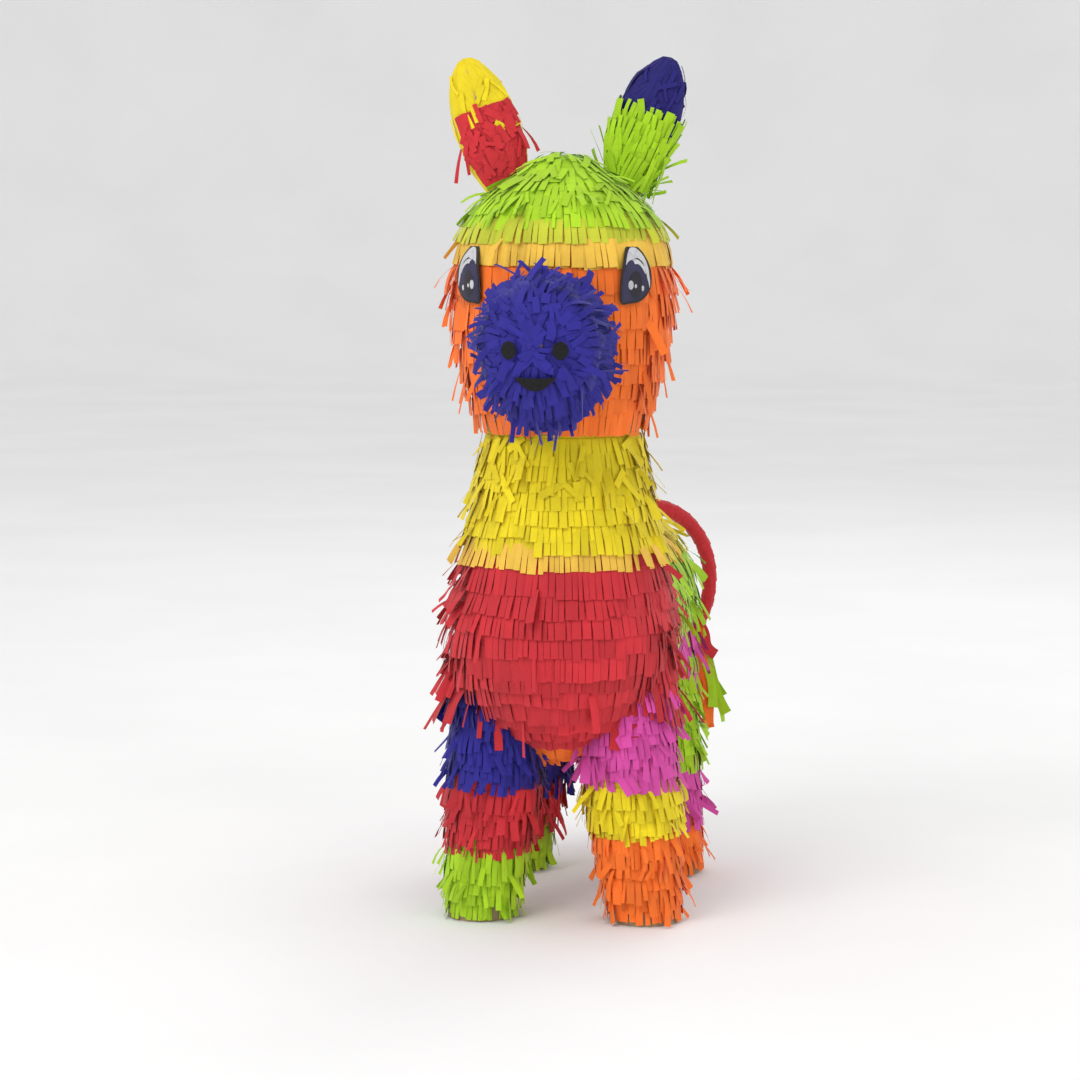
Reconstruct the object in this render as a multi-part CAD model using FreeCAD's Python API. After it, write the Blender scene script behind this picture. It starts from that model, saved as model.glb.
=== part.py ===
"""Standing donkey pinata: a hollow cardboard and paper carcass dressed in crepe-paper fringe.

Millimetres, +Z up.  The donkey faces -Y and its left side is +X.  The origin is on the ground, under the
centre of the whole object.  Hard pieces are paper shells, tubes and discs; each crepe band is one plain
closed skin over them.  Forms are solids of the outer shapes, grown or shrunk by a distance, and every
piece is cut from them, so neighbours share the same surfaces.
"""

import FreeCAD, Part
import math
import os

from FreeCAD import Rotation, Vector

# Walls and clearances
WALL = 4.0  # papier-mache wall of the body, neck and head
THIN_WALL = 3.0  # rolled card of the legs and muzzle
GLUE = 0.25  # gap between a crepe skin and what it is glued on, and between neighbouring skins
KERF = 0.5  # saw gap round the filler flap
FIT = 0.3  # clearance of wires and discs in their seats

# Body: a horizontal barrel with a deep chest and a shorter rump
BARREL_R = 84.0
BARREL_LENGTH = 200.0
CHEST_DEPTH = 88.0
RUMP_DEPTH = 66.0
BELLY_CLEARANCE = 146.0
CHEST_Y = -70.0

# Neck and head
NECK_RISE = 71.0  # from the top of the barrel to the underside of the head
HEAD_R = 82.0
HEAD_HEIGHT = 210.0
HEAD_BASE_R = 58.0
HEAD_FORWARD = 5.0  # how far the head's axis stands ahead of the neck's

# Muzzle
MUZZLE_R = 42.0
MUZZLE_REACH = 128.0  # from the head's axis to the muzzle's rim
MUZZLE_DOME = 24.0
MUZZLE_LIFT = 72.0  # muzzle's axis above the underside of the head

# Ears
EAR_LENGTH = 116.0
EAR_HALF_WIDTH = 24.0
EAR_FLATNESS = 0.42  # thickness over width
EAR_TILT = 20.0  # degrees outward
EAR_LEAN = 6.0  # degrees back
EAR_SPREAD = 41.0  # ear's root from the middle plane
EAR_SINK = 34.0  # ear's root below the crown
EAR_BACK = 12.0  # ear's root behind the head's axis
EAR_WRAP = 2.0
EAR_BASE_TOP = 64.0  # left ear's lime, from the root up
EAR_PANEL_TOP = 72.0  # right ear's red panel, from the root up

# Legs: an oblique tube through three round stations
FOOT_R = 25.5
FOOT_X = 65.5
KNEE_R = 35.5
KNEE_X = 54.5
KNEE_Z = 100.0
HIP_R = 37.0
HIP_DROP = 15.0  # hip station below the barrel's axis
REAR_LEG_INSET = 20.0  # rear legs ahead of the rump joint
FOOT_DISC = 3.0

# Crepe skins
BODY_FRINGE = 8.0
HEAD_FRINGE = 7.0
LEG_FRINGE = 7.0
MUZZLE_FRINGE = 9.0
MUZZLE_FACE_FRINGE = 3.0  # smooth crepe on the front of the muzzle
GROUND_GAP = 1.0  # lowest fringe above the ground
CREPE_CARD = 1.0  # eyes, nostrils and mouth

# Colour bands: on the body as degrees round the barrel above level, on the head and legs as heights
CHEST_TOP_ANGLE = 42.0
BACK_BAND_ANGLES = (-56.0, -11.0, 29.0, 56.0)
CHEST_RED_REACH = 25.0  # how far the red chest runs back along the flank
FACE_BAND = 131.0  # face, from the jaw up
BROW_BAND = 19.0
LEG_BANDS = {
    "front_left": ("orange", 73.0, "yellow", 112.0, "pink"),
    "front_right": ("lime", 58.0, "red", 107.0, "blue"),
    "rear_left": ("orange", 44.0, "pink", 92.0, "lime"),
    "rear_right": ("lime", 38.0, "red", 72.0, "blue"),
}

# Hanger and filler flap, on the top of the barrel
HANGER_AHEAD = 35.0  # hanger ahead of the flap
HANGER_WIRE_R = 1.25
HANGER_LOOP_R = 10.0
HANGER_RISE = 30.0  # loop's centre above the barrel
HANGER_BEND = 1.6  # wire bent sharply under the plate
HANGER_TOE = 10.0
PLATE_HALF_WIDTH = 25.0
PLATE_HALF_LENGTH = 27.0
PLATE_T = 3.0
FLAP_HALF_WIDTH = 30.0
FLAP_LENGTH = 55.0
FLAP_REAR_MARGIN = 5.0  # card left between the flap and the rump joint
FLAP_SKIN_SETBACK = 5.0  # bare strip of the flap beside its hinge
BODY_SKIN_SETBACK = 16.0  # bare strip of the body beside the hinge

# Tail: a rolled-paper stalk in an arc, with a tassel of streamers
TAIL_R = 6.5
TAIL_ROOT_IN = 12.0  # start of the stalk inside the rump
TAIL_OUT = 79.0
TAIL_BEHIND = 28.0
TAIL_DROP = 36.0  # end of the stalk below the barrel's axis
TASSEL_LENGTH = 82.0
TASSEL_WIDTH = 8.0
TASSEL_T = 9.0

# Eyes: an egg-like outline in the head's surface, from the nose side outwards and up
EYE_ANGLE = 48.0  # degrees round from the front
EYE_RISE = 123.0  # above the jaw
EYE_OUTLINE = ((-17, -20), (0, -22), (13, -13), (18, 2), (13, 14), (3, 22), (-7, 17), (-14, 3))
NOSTRIL_X = 19.0
NOSTRIL_LIFT = -3.0
NOSTRIL_R = (5.6, 6.6)
MOUTH_HALF = 15.0
MOUTH_DROP = 23.0
MOUTH_SAG = 10.0

# Heights and lengths that follow from the sizes above
BARREL_Z = BELLY_CLEARANCE + BARREL_R
BARREL_TOP = BARREL_Z + BARREL_R
RUMP_Y = CHEST_Y + BARREL_LENGTH
NECK_Y = CHEST_Y
NECK_BASE_R = BARREL_R - WALL / 2
NECK_BASE_Z = BARREL_Z + math.sqrt(BARREL_R**2 - (NECK_BASE_R - WALL / 2) ** 2)
HEAD_Y = NECK_Y - HEAD_FORWARD
HEAD_BASE_Z = BARREL_TOP + NECK_RISE
MUZZLE_Z = HEAD_BASE_Z + MUZZLE_LIFT
RIM_Y = HEAD_Y - MUZZLE_REACH
CHEST_TOP_Z = BARREL_Z + BARREL_R * math.sin(math.radians(CHEST_TOP_ANGLE))
BACK_BANDS = [BARREL_Z + BARREL_R * math.sin(math.radians(a)) for a in BACK_BAND_ANGLES]
CHEST_BACK_Y = CHEST_Y + CHEST_RED_REACH
FACE_TOP_Z = HEAD_BASE_Z + FACE_BAND
BROW_TOP_Z = FACE_TOP_Z + BROW_BAND
EYE_Z = HEAD_BASE_Z + EYE_RISE
FLAP_Y = RUMP_Y - FLAP_REAR_MARGIN - FLAP_LENGTH
HANGER_Y = FLAP_Y - HANGER_AHEAD
EAR_BARE = EAR_SINK + HEAD_FRINGE / 2  # length of ear below its wrap
HIP_X = BARREL_R - WALL / 4 - HIP_R
HIP_Z = BARREL_Z - HIP_DROP
LEG_Y = {"front": CHEST_Y - 2.0, "rear": RUMP_Y - REAR_LEG_INSET}
SIDES = {"left": 1, "right": -1}
LEGS = {f"{end}_{name}": (side, LEG_Y[end]) for end in LEG_Y for name, side in SIDES.items()}
FAR = 1000.0  # reach of the blocks used to clip forms


# ---- clipping and basic forms ----

def block(x=(-FAR, FAR), y=(-FAR, FAR), z=(-FAR, FAR)):
    """A box between two limits on each axis."""
    return Part.makeBox(x[1] - x[0], y[1] - y[0], z[1] - z[0], Vector(x[0], y[0], z[0]))


def quarter_ellipse(centre, first, second):
    """A quarter of an ellipse from centre + first to centre + second."""
    curve = Part.BezierCurve()
    curve.setPoles([centre + first, centre + first + second, centre + second])
    curve.setWeight(2, math.sqrt(0.5))
    return curve.toShape()


def line(a, b):
    return Part.LineSegment(a, b).toShape()


def revolved(edges, centre, axis):
    """The solid swept by a closed outline turned round an axis."""
    return Part.Face(Part.Wire(edges)).revolve(centre, axis, 360)


def barrel_form(grow=0.0):
    """Chest, barrel and rump as one solid turned about the barrel's axis."""
    radius = Vector(0, 0, BARREL_R + grow)
    chest = Vector(0, CHEST_Y, BARREL_Z)
    rump = Vector(0, RUMP_Y, BARREL_Z)
    nose = Vector(0, -CHEST_DEPTH - grow, 0)
    tail = Vector(0, RUMP_DEPTH + grow, 0)
    edges = [
        quarter_ellipse(chest, nose, radius),
        line(chest + radius, rump + radius),
        quarter_ellipse(rump, radius, tail),
        line(rump + tail, chest + nose),
    ]
    return revolved(edges, chest, Vector(0, 1, 0))


def neck_form(grow=0.0):
    """The neck's cone, from the shoulders to the underside of the head."""
    foot = Vector(0, NECK_Y, NECK_BASE_Z)
    return Part.makeCone(NECK_BASE_R + grow, HEAD_BASE_R + grow, HEAD_BASE_Z - NECK_BASE_Z, foot, Vector(0, 0, 1))


def head_outline():
    """Radius and height above the base of the head's profile, from jaw to crown."""
    belly = HEAD_R - HEAD_BASE_R
    lower = [(0.0, 0.0), (0.38, 0.11), (0.75, 0.27), (1.0, 0.46)]
    upper = [(0.985, 0.63), (0.90, 0.75), (0.65, 0.865), (0.34, 0.955)]
    points = [(HEAD_BASE_R + belly * r, HEAD_HEIGHT * h) for r, h in lower]
    return points + [(HEAD_R * r, HEAD_HEIGHT * h) for r, h in upper] + [(0.0, HEAD_HEIGHT)]


def grown_outline(points, grow):
    """The outline moved outward; its first point moves sideways only and its last one upward only."""
    moved = [(points[0][0] + grow, points[0][1])]
    for before, here, after in zip(points, points[1:], points[2:]):
        run = (after[0] - before[0], after[1] - before[1])
        length = math.hypot(*run)
        moved.append((here[0] + grow * run[1] / length, here[1] - grow * run[0] / length))
    return moved + [(0.0, points[-1][1] + grow)]


def head_form(grow=0.0, floor=0.0):
    """The head as a solid of revolution, with its flat floor raised by floor."""
    points = [Vector(r, HEAD_Y, HEAD_BASE_Z + z) for r, z in grown_outline(head_outline(), grow)]
    side = Part.BSplineCurve()
    side.interpolate(points, InitialTangent=Vector(0.5, 0, 1), FinalTangent=Vector(-1, 0, 0))
    foot = Vector(0, HEAD_Y, HEAD_BASE_Z)
    solid = revolved([line(foot, points[0]), side.toShape(), line(points[-1], foot)], foot, Vector(0, 0, 1))
    return solid.common(block(z=(HEAD_BASE_Z + floor, FAR))) if floor else solid


def muzzle_form(grow=0.0, face=0.0, back=HEAD_Y):
    """The muzzle's tube and domed front, starting at back."""
    centre = Vector(0, RIM_Y, MUZZLE_Z)
    start = Vector(0, back, MUZZLE_Z)
    radius = Vector(0, 0, MUZZLE_R + grow)
    tip = Vector(0, -MUZZLE_DOME - face, 0)
    edges = [
        line(start, start + radius),
        line(start + radius, centre + radius),
        quarter_ellipse(centre, radius, tip),
        line(centre + tip, start),
    ]
    return revolved(edges, centre, Vector(0, 1, 0))


def leg_form(leg, grow=0.0):
    """A leg as a tube through its foot, knee and hip stations."""
    side, y = LEGS[leg]
    stations = ((FOOT_X, 0.0, FOOT_R), (KNEE_X, KNEE_Z, KNEE_R), (HIP_X, HIP_Z, HIP_R))
    rings = [Part.Wire(Part.makeCircle(r + grow, Vector(side * x, y, z))) for x, z, r in stations]
    return Part.makeLoft(rings, True, True)


def mirrored(shape):
    """The same shape on the other side of the middle plane."""
    return shape.mirror(Vector(0, 0, 0), Vector(1, 0, 0))


def ear_placement():
    """The left ear's root and own directions: Z along the ear, X across it."""
    turn = Rotation(Vector(0, 1, 0), EAR_TILT) * Rotation(Vector(1, 0, 0), -EAR_LEAN)
    root = Vector(EAR_SPREAD, HEAD_Y + EAR_BACK, HEAD_BASE_Z + HEAD_HEIGHT - EAR_SINK)
    return FreeCAD.Placement(root, turn)


def ear_form(grow=0.0):
    """The left ear: a flattened leaf standing out of the crown, lofted through oval sections."""
    stations = ((0.56, 0.0), (0.82, 0.20), (1.0, 0.46), (0.97, 0.64), (0.76, 0.82), (0.50, 0.92), (0.24, 0.98))
    outline = [(EAR_HALF_WIDTH * w, EAR_LENGTH * s) for w, s in stations] + [(0.0, EAR_LENGTH)]
    moved = grown_outline(outline, grow)
    rings = []
    for (width, _), (outer, z) in zip(outline[:-1], moved):
        thickness = EAR_FLATNESS * width + outer - width
        oval = Part.Ellipse(Vector(outer, 0, z), Vector(0, thickness, z), Vector(0, 0, z))
        rings.append(Part.Wire(oval.toShape()))
    rings.append(Part.Vertex(0, 0, moved[-1][1]))
    leaf = Part.makeLoft(rings, True)
    leaf.Placement = ear_placement()
    return leaf


def ear_block(along, front=False):
    """A block in the left ear's directions: between two distances from its root, and its front half or all."""
    width = EAR_HALF_WIDTH * 0.8 if front else FAR
    piece = block((-width, width), (-FAR, 0.0 if front else FAR), along)
    piece.Placement = ear_placement().multiply(piece.Placement)
    return piece


def tail_points():
    """Start, top and end of the stalk's arc, which swings over the left of the rump."""
    start = Vector(4, RUMP_Y + RUMP_DEPTH * 0.62 - TAIL_ROOT_IN, BARREL_Z + BARREL_R * 0.80 - TAIL_ROOT_IN)
    end = Vector(TAIL_OUT, RUMP_Y + RUMP_DEPTH + TAIL_BEHIND, BARREL_Z - TAIL_DROP)
    top = Vector(TAIL_OUT * 0.55, RUMP_Y + RUMP_DEPTH * 0.92, BARREL_Z + BARREL_R * 0.82)
    return start, top, end


def tail_form(grow=0.0):
    """The stalk: a round bar along one arc."""
    arc = Part.Arc(*tail_points())
    path = Part.Wire(arc.toShape())
    ring = Part.Wire(Part.makeCircle(TAIL_R + grow, arc.value(arc.FirstParameter), arc.tangent(arc.FirstParameter)[0]))
    return path.makePipeShell([ring], True, True)


def solids(shape):
    """The solids of a shape, fused faces cleaned, as one compound or one solid."""
    found = [s for s in shape.removeSplitter().Solids if s.Volume > 1.0]
    return found[0] if len(found) == 1 else Part.makeCompound(found)


def cut(shape, *tools):
    for tool in tools:
        shape = shape.cut(tool)
    return shape


# ---- carcass ----

def flap_block(inset, z0=BARREL_Z):
    """The filler opening, drawn in by inset on every side."""
    return block(
        (-FLAP_HALF_WIDTH + inset, FLAP_HALF_WIDTH - inset),
        (FLAP_Y + inset, FLAP_Y + FLAP_LENGTH - inset),
        (z0, FAR),
    )


def hanger_holes():
    feet = [Vector(0, HANGER_Y + s * HANGER_LOOP_R, BARREL_Z) for s in (-1, 1)]
    return [Part.makeCylinder(HANGER_WIRE_R + FIT, FAR, foot) for foot in feet]


def make_body():
    wall = barrel_form().cut(barrel_form(-WALL))
    tube = wall.common(block(y=(CHEST_Y, RUMP_Y)))
    return {
        "barrel_tube": cut(tube, flap_block(0.0), *hanger_holes()),
        "chest_cap": wall.common(block(y=(-FAR, CHEST_Y))),
        "rump_cap": wall.common(block(y=(RUMP_Y, FAR))),
        "filler_flap": tube.common(flap_block(KERF)),
    }


def make_hanger():
    """A bent steel wire loop, toed out under a curved card plate inside the barrel."""
    seat_r = BARREL_R - WALL - GLUE
    axis = Vector(0, 1, 0)
    start = Vector(0, HANGER_Y - PLATE_HALF_LENGTH, BARREL_Z)
    outer = Part.makeCylinder(seat_r, 2 * PLATE_HALF_LENGTH, start, axis)
    inner = Part.makeCylinder(seat_r - PLATE_T, 2 * PLATE_HALF_LENGTH, start, axis)
    plate = outer.cut(inner).common(block((-PLATE_HALF_WIDTH, PLATE_HALF_WIDTH), z=(BARREL_Z, FAR)))

    toe_z = BARREL_Z + seat_r - PLATE_T - HANGER_WIRE_R - FIT
    top_z = BARREL_TOP + HANGER_RISE
    r, bend = HANGER_LOOP_R, HANGER_BEND

    def at(y, z):
        return Vector(0, HANGER_Y + y, z)

    def corner(s):
        middle = at(s * (r + bend), toe_z + bend)
        half = bend * math.sqrt(0.5)
        ends = (at(s * (r + bend), toe_z), middle + Vector(0, -s * half, -half), at(s * r, toe_z + bend))
        return Part.Arc(*(ends if s < 0 else ends[::-1])).toShape()

    edges = [
        line(at(-r - bend - HANGER_TOE, toe_z), at(-r - bend, toe_z)),
        corner(-1),
        line(at(-r, toe_z + bend), at(-r, top_z)),
        Part.Arc(at(-r, top_z), at(0, top_z + r), at(r, top_z)).toShape(),
        line(at(r, top_z), at(r, toe_z + bend)),
        corner(1),
        line(at(r + bend, toe_z), at(r + bend + HANGER_TOE, toe_z)),
    ]
    ring = Part.Wire(Part.makeCircle(HANGER_WIRE_R, at(-r - bend - HANGER_TOE, toe_z), axis))
    wire = Part.Wire(edges).makePipeShell([ring], True, True)
    return {"hanger_loop": wire, "hanger_plate": cut(plate, *hanger_holes())}


def make_neck_and_head():
    neck = neck_form().cut(neck_form(-WALL)).cut(barrel_form())
    shell = head_form().cut(head_form(-WALL, floor=WALL))
    tube = muzzle_form().cut(muzzle_form(-THIN_WALL, back=HEAD_Y + 1.0)).cut(head_form())
    dome = muzzle_form().cut(muzzle_form(-THIN_WALL, -THIN_WALL, back=HEAD_Y + 1.0))
    return {
        "neck_tube": neck,
        "head_shell_front": shell.common(block(y=(-FAR, HEAD_Y))),
        "head_shell_rear": shell.common(block(y=(HEAD_Y, FAR))),
        "muzzle_tube": tube.common(block(y=(RIM_Y, FAR))),
        "muzzle_cap": dome.common(block(y=(-FAR, RIM_Y))),
    }


def make_legs():
    """Hollow card legs, each closed at the ground by a disc let into its end."""
    pieces = {}
    for leg in LEGS:
        tube = leg_form(leg).cut(leg_form(leg, -THIN_WALL))
        pieces[f"leg_tube_{leg}"] = tube.cut(barrel_form())
        plug = leg_form(leg, -THIN_WALL - FIT)
        pieces[f"foot_disc_{leg}"] = plug.common(block(z=(0.0, FOOT_DISC)))
    return pieces


def make_ears_and_tail():
    ear = ear_form().cut(head_form())
    return {"ear_core_left": ear, "ear_core_right": mirrored(ear), "tail_core": tail_form().cut(barrel_form())}


def make_tassel():
    """Three bundles of streamers side by side under the end of the stalk, fanning out as they hang."""
    end = tail_points()[2]
    pieces = {}
    bundles = (("orange", -1.0, 1.0), ("red", 0.0, 0.45), ("lime", 1.0, 1.0))
    for colour, side, share in bundles:
        length = TASSEL_LENGTH * share
        top = end + Vector(side * (TASSEL_WIDTH / 2 + GLUE), 0, -GLUE - TAIL_R)
        foot = top + Vector(side * (TASSEL_WIDTH + GLUE) * share, 0, -length)
        rings = []
        for centre, width in ((top, TASSEL_WIDTH / 2), (foot, TASSEL_WIDTH / 2 * (1 + share))):
            corners = [centre + Vector(sx * width / 2, sy * TASSEL_T / 2, 0) for sx, sy in
                       ((-1, -1), (1, -1), (1, 1), (-1, 1), (-1, -1))]
            rings.append(Part.makePolygon(corners))
        pieces[f"tail_tassel_{colour}"] = Part.makeLoft(rings, True, True)
    return pieces


# ---- crepe skins ----

def make_head_skins():
    ear = ear_form(EAR_WRAP + GLUE)
    skin = cut(head_form(HEAD_FRINGE), head_form(GLUE), muzzle_form(GLUE), ear, mirrored(ear))
    muzzle = muzzle_form(MUZZLE_FRINGE, MUZZLE_FACE_FRINGE).cut(muzzle_form(GLUE, GLUE))
    return {
        "crown_fringe_lime": skin.common(block(z=(BROW_TOP_Z + GLUE, FAR))),
        "brow_fringe_yellow": skin.common(block(z=(FACE_TOP_Z + GLUE, BROW_TOP_Z))),
        "face_fringe_orange": skin.common(block(z=(HEAD_BASE_Z, FACE_TOP_Z))),
        "muzzle_fringe_blue": muzzle.cut(head_form(HEAD_FRINGE + GLUE)),
    }


def make_ear_wraps():
    """Left ear: lime below and a blue tip.  Right ear: yellow all round with a red front panel."""
    wrap = ear_form(EAR_WRAP).common(ear_block((EAR_BARE, FAR))).cut(ear_form(GLUE))
    front = ear_block((EAR_BARE, EAR_PANEL_TOP), front=True)
    return {
        "ear_base_left_lime": wrap.common(ear_block((EAR_BARE, EAR_BASE_TOP))),
        "ear_tip_left_blue": wrap.common(ear_block((EAR_BASE_TOP + GLUE, FAR))),
        "ear_wrap_right_yellow": mirrored(wrap.cut(front)),
        "ear_panel_right_red": mirrored(wrap.common(front)),
    }


def make_body_skins():
    legs = [leg_form(leg, GLUE) for leg in LEGS]
    skin = cut(barrel_form(BODY_FRINGE), barrel_form(GLUE), neck_form(GLUE))
    neck = cut(neck_form(BODY_FRINGE), neck_form(GLUE), barrel_form(GLUE))
    red = block(y=(-FAR, CHEST_BACK_Y), z=(-FAR, CHEST_TOP_Z))
    chest = skin.common(red).fuse(neck.common(red))

    loop = 2 * HANGER_WIRE_R + 1.0
    slot = block((-loop, loop), (HANGER_Y - HANGER_LOOP_R - loop, HANGER_Y + HANGER_LOOP_R + loop), (BARREL_Z, FAR))
    window = block(
        (-FLAP_HALF_WIDTH - BODY_SKIN_SETBACK, FLAP_HALF_WIDTH + KERF),
        (FLAP_Y - KERF, FLAP_Y + FLAP_LENGTH + KERF),
        (BARREL_Z, FAR),
    )
    flank = cut(skin.common(block(y=(CHEST_BACK_Y + GLUE, FAR))), neck_form(BODY_FRINGE + GLUE), slot, window,
                tail_form(GLUE), *legs)
    limits = (-FAR, *BACK_BANDS, FAR)
    names = ("belly_fringe_orange", "flank_fringe_pink", "flank_fringe_lime", "flank_fringe_yellow",
             "back_fringe_orange")
    bands = {
        name: flank.common(block(z=(low + GLUE / 2, high - GLUE / 2)))
        for name, low, high in zip(names, limits, limits[1:])
    }
    setback = block(x=(-FLAP_HALF_WIDTH + FLAP_SKIN_SETBACK, FAR))
    bands["flap_fringe_orange"] = skin.common(flap_block(KERF)).common(setback)
    bands["chest_fringe_red"] = cut(chest, *legs)
    bands["neck_fringe_yellow"] = neck.common(block(z=(CHEST_TOP_Z + GLUE, HEAD_BASE_Z)))
    return bands


def make_leg_skins():
    pieces = {}
    body = barrel_form(BODY_FRINGE + GLUE)
    for leg in LEGS:
        skin = leg_form(leg, LEG_FRINGE).cut(leg_form(leg, GLUE)).cut(body)
        low, first, middle, second, high = LEG_BANDS[leg]
        bands = ((low, GROUND_GAP, first), (middle, first + GLUE, second), (high, second + GLUE, FAR))
        for colour, z0, z1 in bands:
            pieces[f"leg_{leg}_{colour}"] = skin.common(block(z=(z0, z1)))
    return pieces


# ---- printed eyes, nostrils and mouth ----

def closed_outline(points):
    """A smooth closed face through points."""
    curve = Part.BSplineCurve()
    curve.interpolate(points, PeriodicFlag=True)
    return Part.Face(Part.Wire(curve.toShape()))


def make_face():
    """Printed card shapes lying on the crepe of the head and muzzle."""
    card = head_form(HEAD_FRINGE + GLUE + CREPE_CARD).cut(head_form(HEAD_FRINGE + GLUE))
    pieces = {}
    for name, side in SIDES.items():
        points = [Vector(side * u, 0, EYE_Z + v) for u, v in EYE_OUTLINE]
        punch = closed_outline(points).extrude(Vector(0, -2 * HEAD_R, 0))
        punch.Placement = FreeCAD.Placement(Vector(0, HEAD_Y, 0), Rotation(Vector(0, 0, 1), side * EYE_ANGLE))
        pieces[f"eye_{name}"] = card.common(punch)

    outer = muzzle_form(MUZZLE_FRINGE, MUZZLE_FACE_FRINGE + GLUE + CREPE_CARD)
    card = outer.cut(muzzle_form(MUZZLE_FRINGE, MUZZLE_FACE_FRINGE + GLUE, back=HEAD_Y + 1.0))
    reach = Vector(0, -FAR, 0)
    for name, side in SIDES.items():
        centre = Vector(side * NOSTRIL_X, RIM_Y, MUZZLE_Z + NOSTRIL_LIFT)
        half_width, half_height = NOSTRIL_R
        oval = [centre + Vector(half_width * math.cos(a), 0, half_height * math.sin(a))
                for a in (math.radians(45 * k) for k in range(8))]
        pieces[f"nostril_{name}"] = card.common(closed_outline(oval).extrude(reach))
    lip = Vector(0, RIM_Y, MUZZLE_Z - MOUTH_DROP)
    left, right = lip + Vector(-MOUTH_HALF, 0, 0), lip + Vector(MOUTH_HALF, 0, 0)
    smile = Part.Arc(left, lip + Vector(0, 0, -MOUTH_SAG), right)
    top = Part.Arc(right, lip + Vector(0, 0, -MOUTH_SAG * 0.12), left)
    mouth = Part.Face(Part.Wire([smile.toShape(), top.toShape()])).extrude(reach)
    pieces["mouth"] = card.common(mouth)
    return pieces


def build():
    """Every piece by name, in the object's frame."""
    makers = (make_body, make_hanger, make_neck_and_head, make_legs, make_ears_and_tail, make_tassel,
              make_head_skins, make_ear_wraps, make_body_skins, make_leg_skins, make_face)
    pieces = {}
    for maker in makers:
        pieces.update({name: solids(shape) for name, shape in maker().items()})
    box = FreeCAD.BoundBox()
    for shape in pieces.values():
        box.add(shape.optimalBoundingBox(False, False))
    middle = Vector(0, -(box.YMin + box.YMax) / 2, 0)
    for shape in pieces.values():
        shape.translate(middle)
    return pieces


def main():
    os.makedirs("parts", exist_ok=True)
    for name, shape in build().items():
        shape.exportStep(f"parts/{name}.step")


main()
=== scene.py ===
"""Donkey pinata: crepe fringe, wraps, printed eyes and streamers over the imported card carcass."""
import math

import bpy
import numpy as np
from mathutils import Matrix, Vector
from mathutils.bvhtree import BVHTree


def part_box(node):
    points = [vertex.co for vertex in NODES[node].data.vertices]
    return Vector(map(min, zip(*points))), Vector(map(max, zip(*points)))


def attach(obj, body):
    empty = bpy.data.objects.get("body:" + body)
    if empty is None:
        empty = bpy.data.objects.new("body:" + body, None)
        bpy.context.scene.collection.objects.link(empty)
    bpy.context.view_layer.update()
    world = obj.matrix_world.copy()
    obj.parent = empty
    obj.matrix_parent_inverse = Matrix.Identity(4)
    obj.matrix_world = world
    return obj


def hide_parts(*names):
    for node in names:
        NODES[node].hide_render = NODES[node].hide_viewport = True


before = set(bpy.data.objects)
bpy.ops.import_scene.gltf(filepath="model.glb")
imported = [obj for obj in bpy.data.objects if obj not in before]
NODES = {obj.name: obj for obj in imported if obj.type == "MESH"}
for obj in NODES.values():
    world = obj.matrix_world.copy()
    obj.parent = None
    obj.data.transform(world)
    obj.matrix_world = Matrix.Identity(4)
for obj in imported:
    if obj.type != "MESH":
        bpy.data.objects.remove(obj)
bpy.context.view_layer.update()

MM = 0.001
SEED = 20261119


# ---- sizes and surfaces read from the frame ----

def box(node):
    low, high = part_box(node)
    return np.array(low), np.array(high)


def top_mm(node):
    return box(node)[1][2] / MM


def surface(*nodes):
    """One ray-casting tree over the shells of these nodes."""
    verts, faces = [], []
    for node in nodes:
        mesh = NODES[node].data
        start = len(verts)
        verts.extend(v.co.copy() for v in mesh.vertices)
        faces.extend(tuple(start + i for i in p.vertices) for p in mesh.polygons)
    return BVHTree.FromPolygons(verts, faces)


BARREL_LOW, BARREL_HIGH = box("barrel_tube")
BARREL_R = (BARREL_HIGH[0] - BARREL_LOW[0]) / 2
BARREL_Z = (BARREL_HIGH[2] + BARREL_LOW[2]) / 2
CHEST_Y, RUMP_Y = BARREL_LOW[1], BARREL_HIGH[1]
CHEST_DEPTH, RUMP_DEPTH = 0.088, 0.066  # how far the body's ends bulge past the barrel
TRUNK_LENGTH = 2 * (RUMP_Y - CHEST_Y) + math.pi * BARREL_R
CHEST_TOP = top_mm("chest_fringe_red")
CHEST_BACK_Y = box("chest_fringe_red")[1][1]
FLAP_LOW, FLAP_HIGH = box("filler_flap")
NECK_LOW, NECK_HIGH = box("neck_tube")
NECK_Y = (NECK_LOW[1] + NECK_HIGH[1]) / 2
NECK_FOOT = 0.256  # height at which the neck meets the body in front
HEAD_Y = box("head_shell_front")[1][1]
HEAD_TOP = box("head_shell_rear")[1][2]
JAW_Z = box("head_shell_front")[0][2]
HEAD_R = 0.082
CROWN = (0.0, HEAD_Y, HEAD_TOP - HEAD_R)  # centre of the crown's dome
MUZZLE_LOW, MUZZLE_HIGH = box("muzzle_cap")
RIM_Y, MUZZLE_TIP = MUZZLE_HIGH[1], MUZZLE_LOW[1]
MUZZLE_Z = (MUZZLE_LOW[2] + MUZZLE_HIGH[2]) / 2
MUZZLE_R = (MUZZLE_HIGH[0] - MUZZLE_LOW[0]) / 2
LEG_NAMES = ("front_left", "front_right", "rear_left", "rear_right")
LEG_Z, LEG_X = [0.0, 0.100, 0.215], [0.0655, 0.0545, 0.0463]  # a leg's axis at foot, knee and hip
LEG_R = [0.0255, 0.0355, 0.0370]
EAR_LENGTH, EAR_FLATNESS = 0.116, 0.45
EAR_TURN = Matrix.Rotation(math.radians(20), 3, "Y") @ Matrix.Rotation(math.radians(-6), 3, "X")
EAR_ROOT = np.array([0.041, HEAD_Y + 0.012, HEAD_TOP - 0.034])

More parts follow.
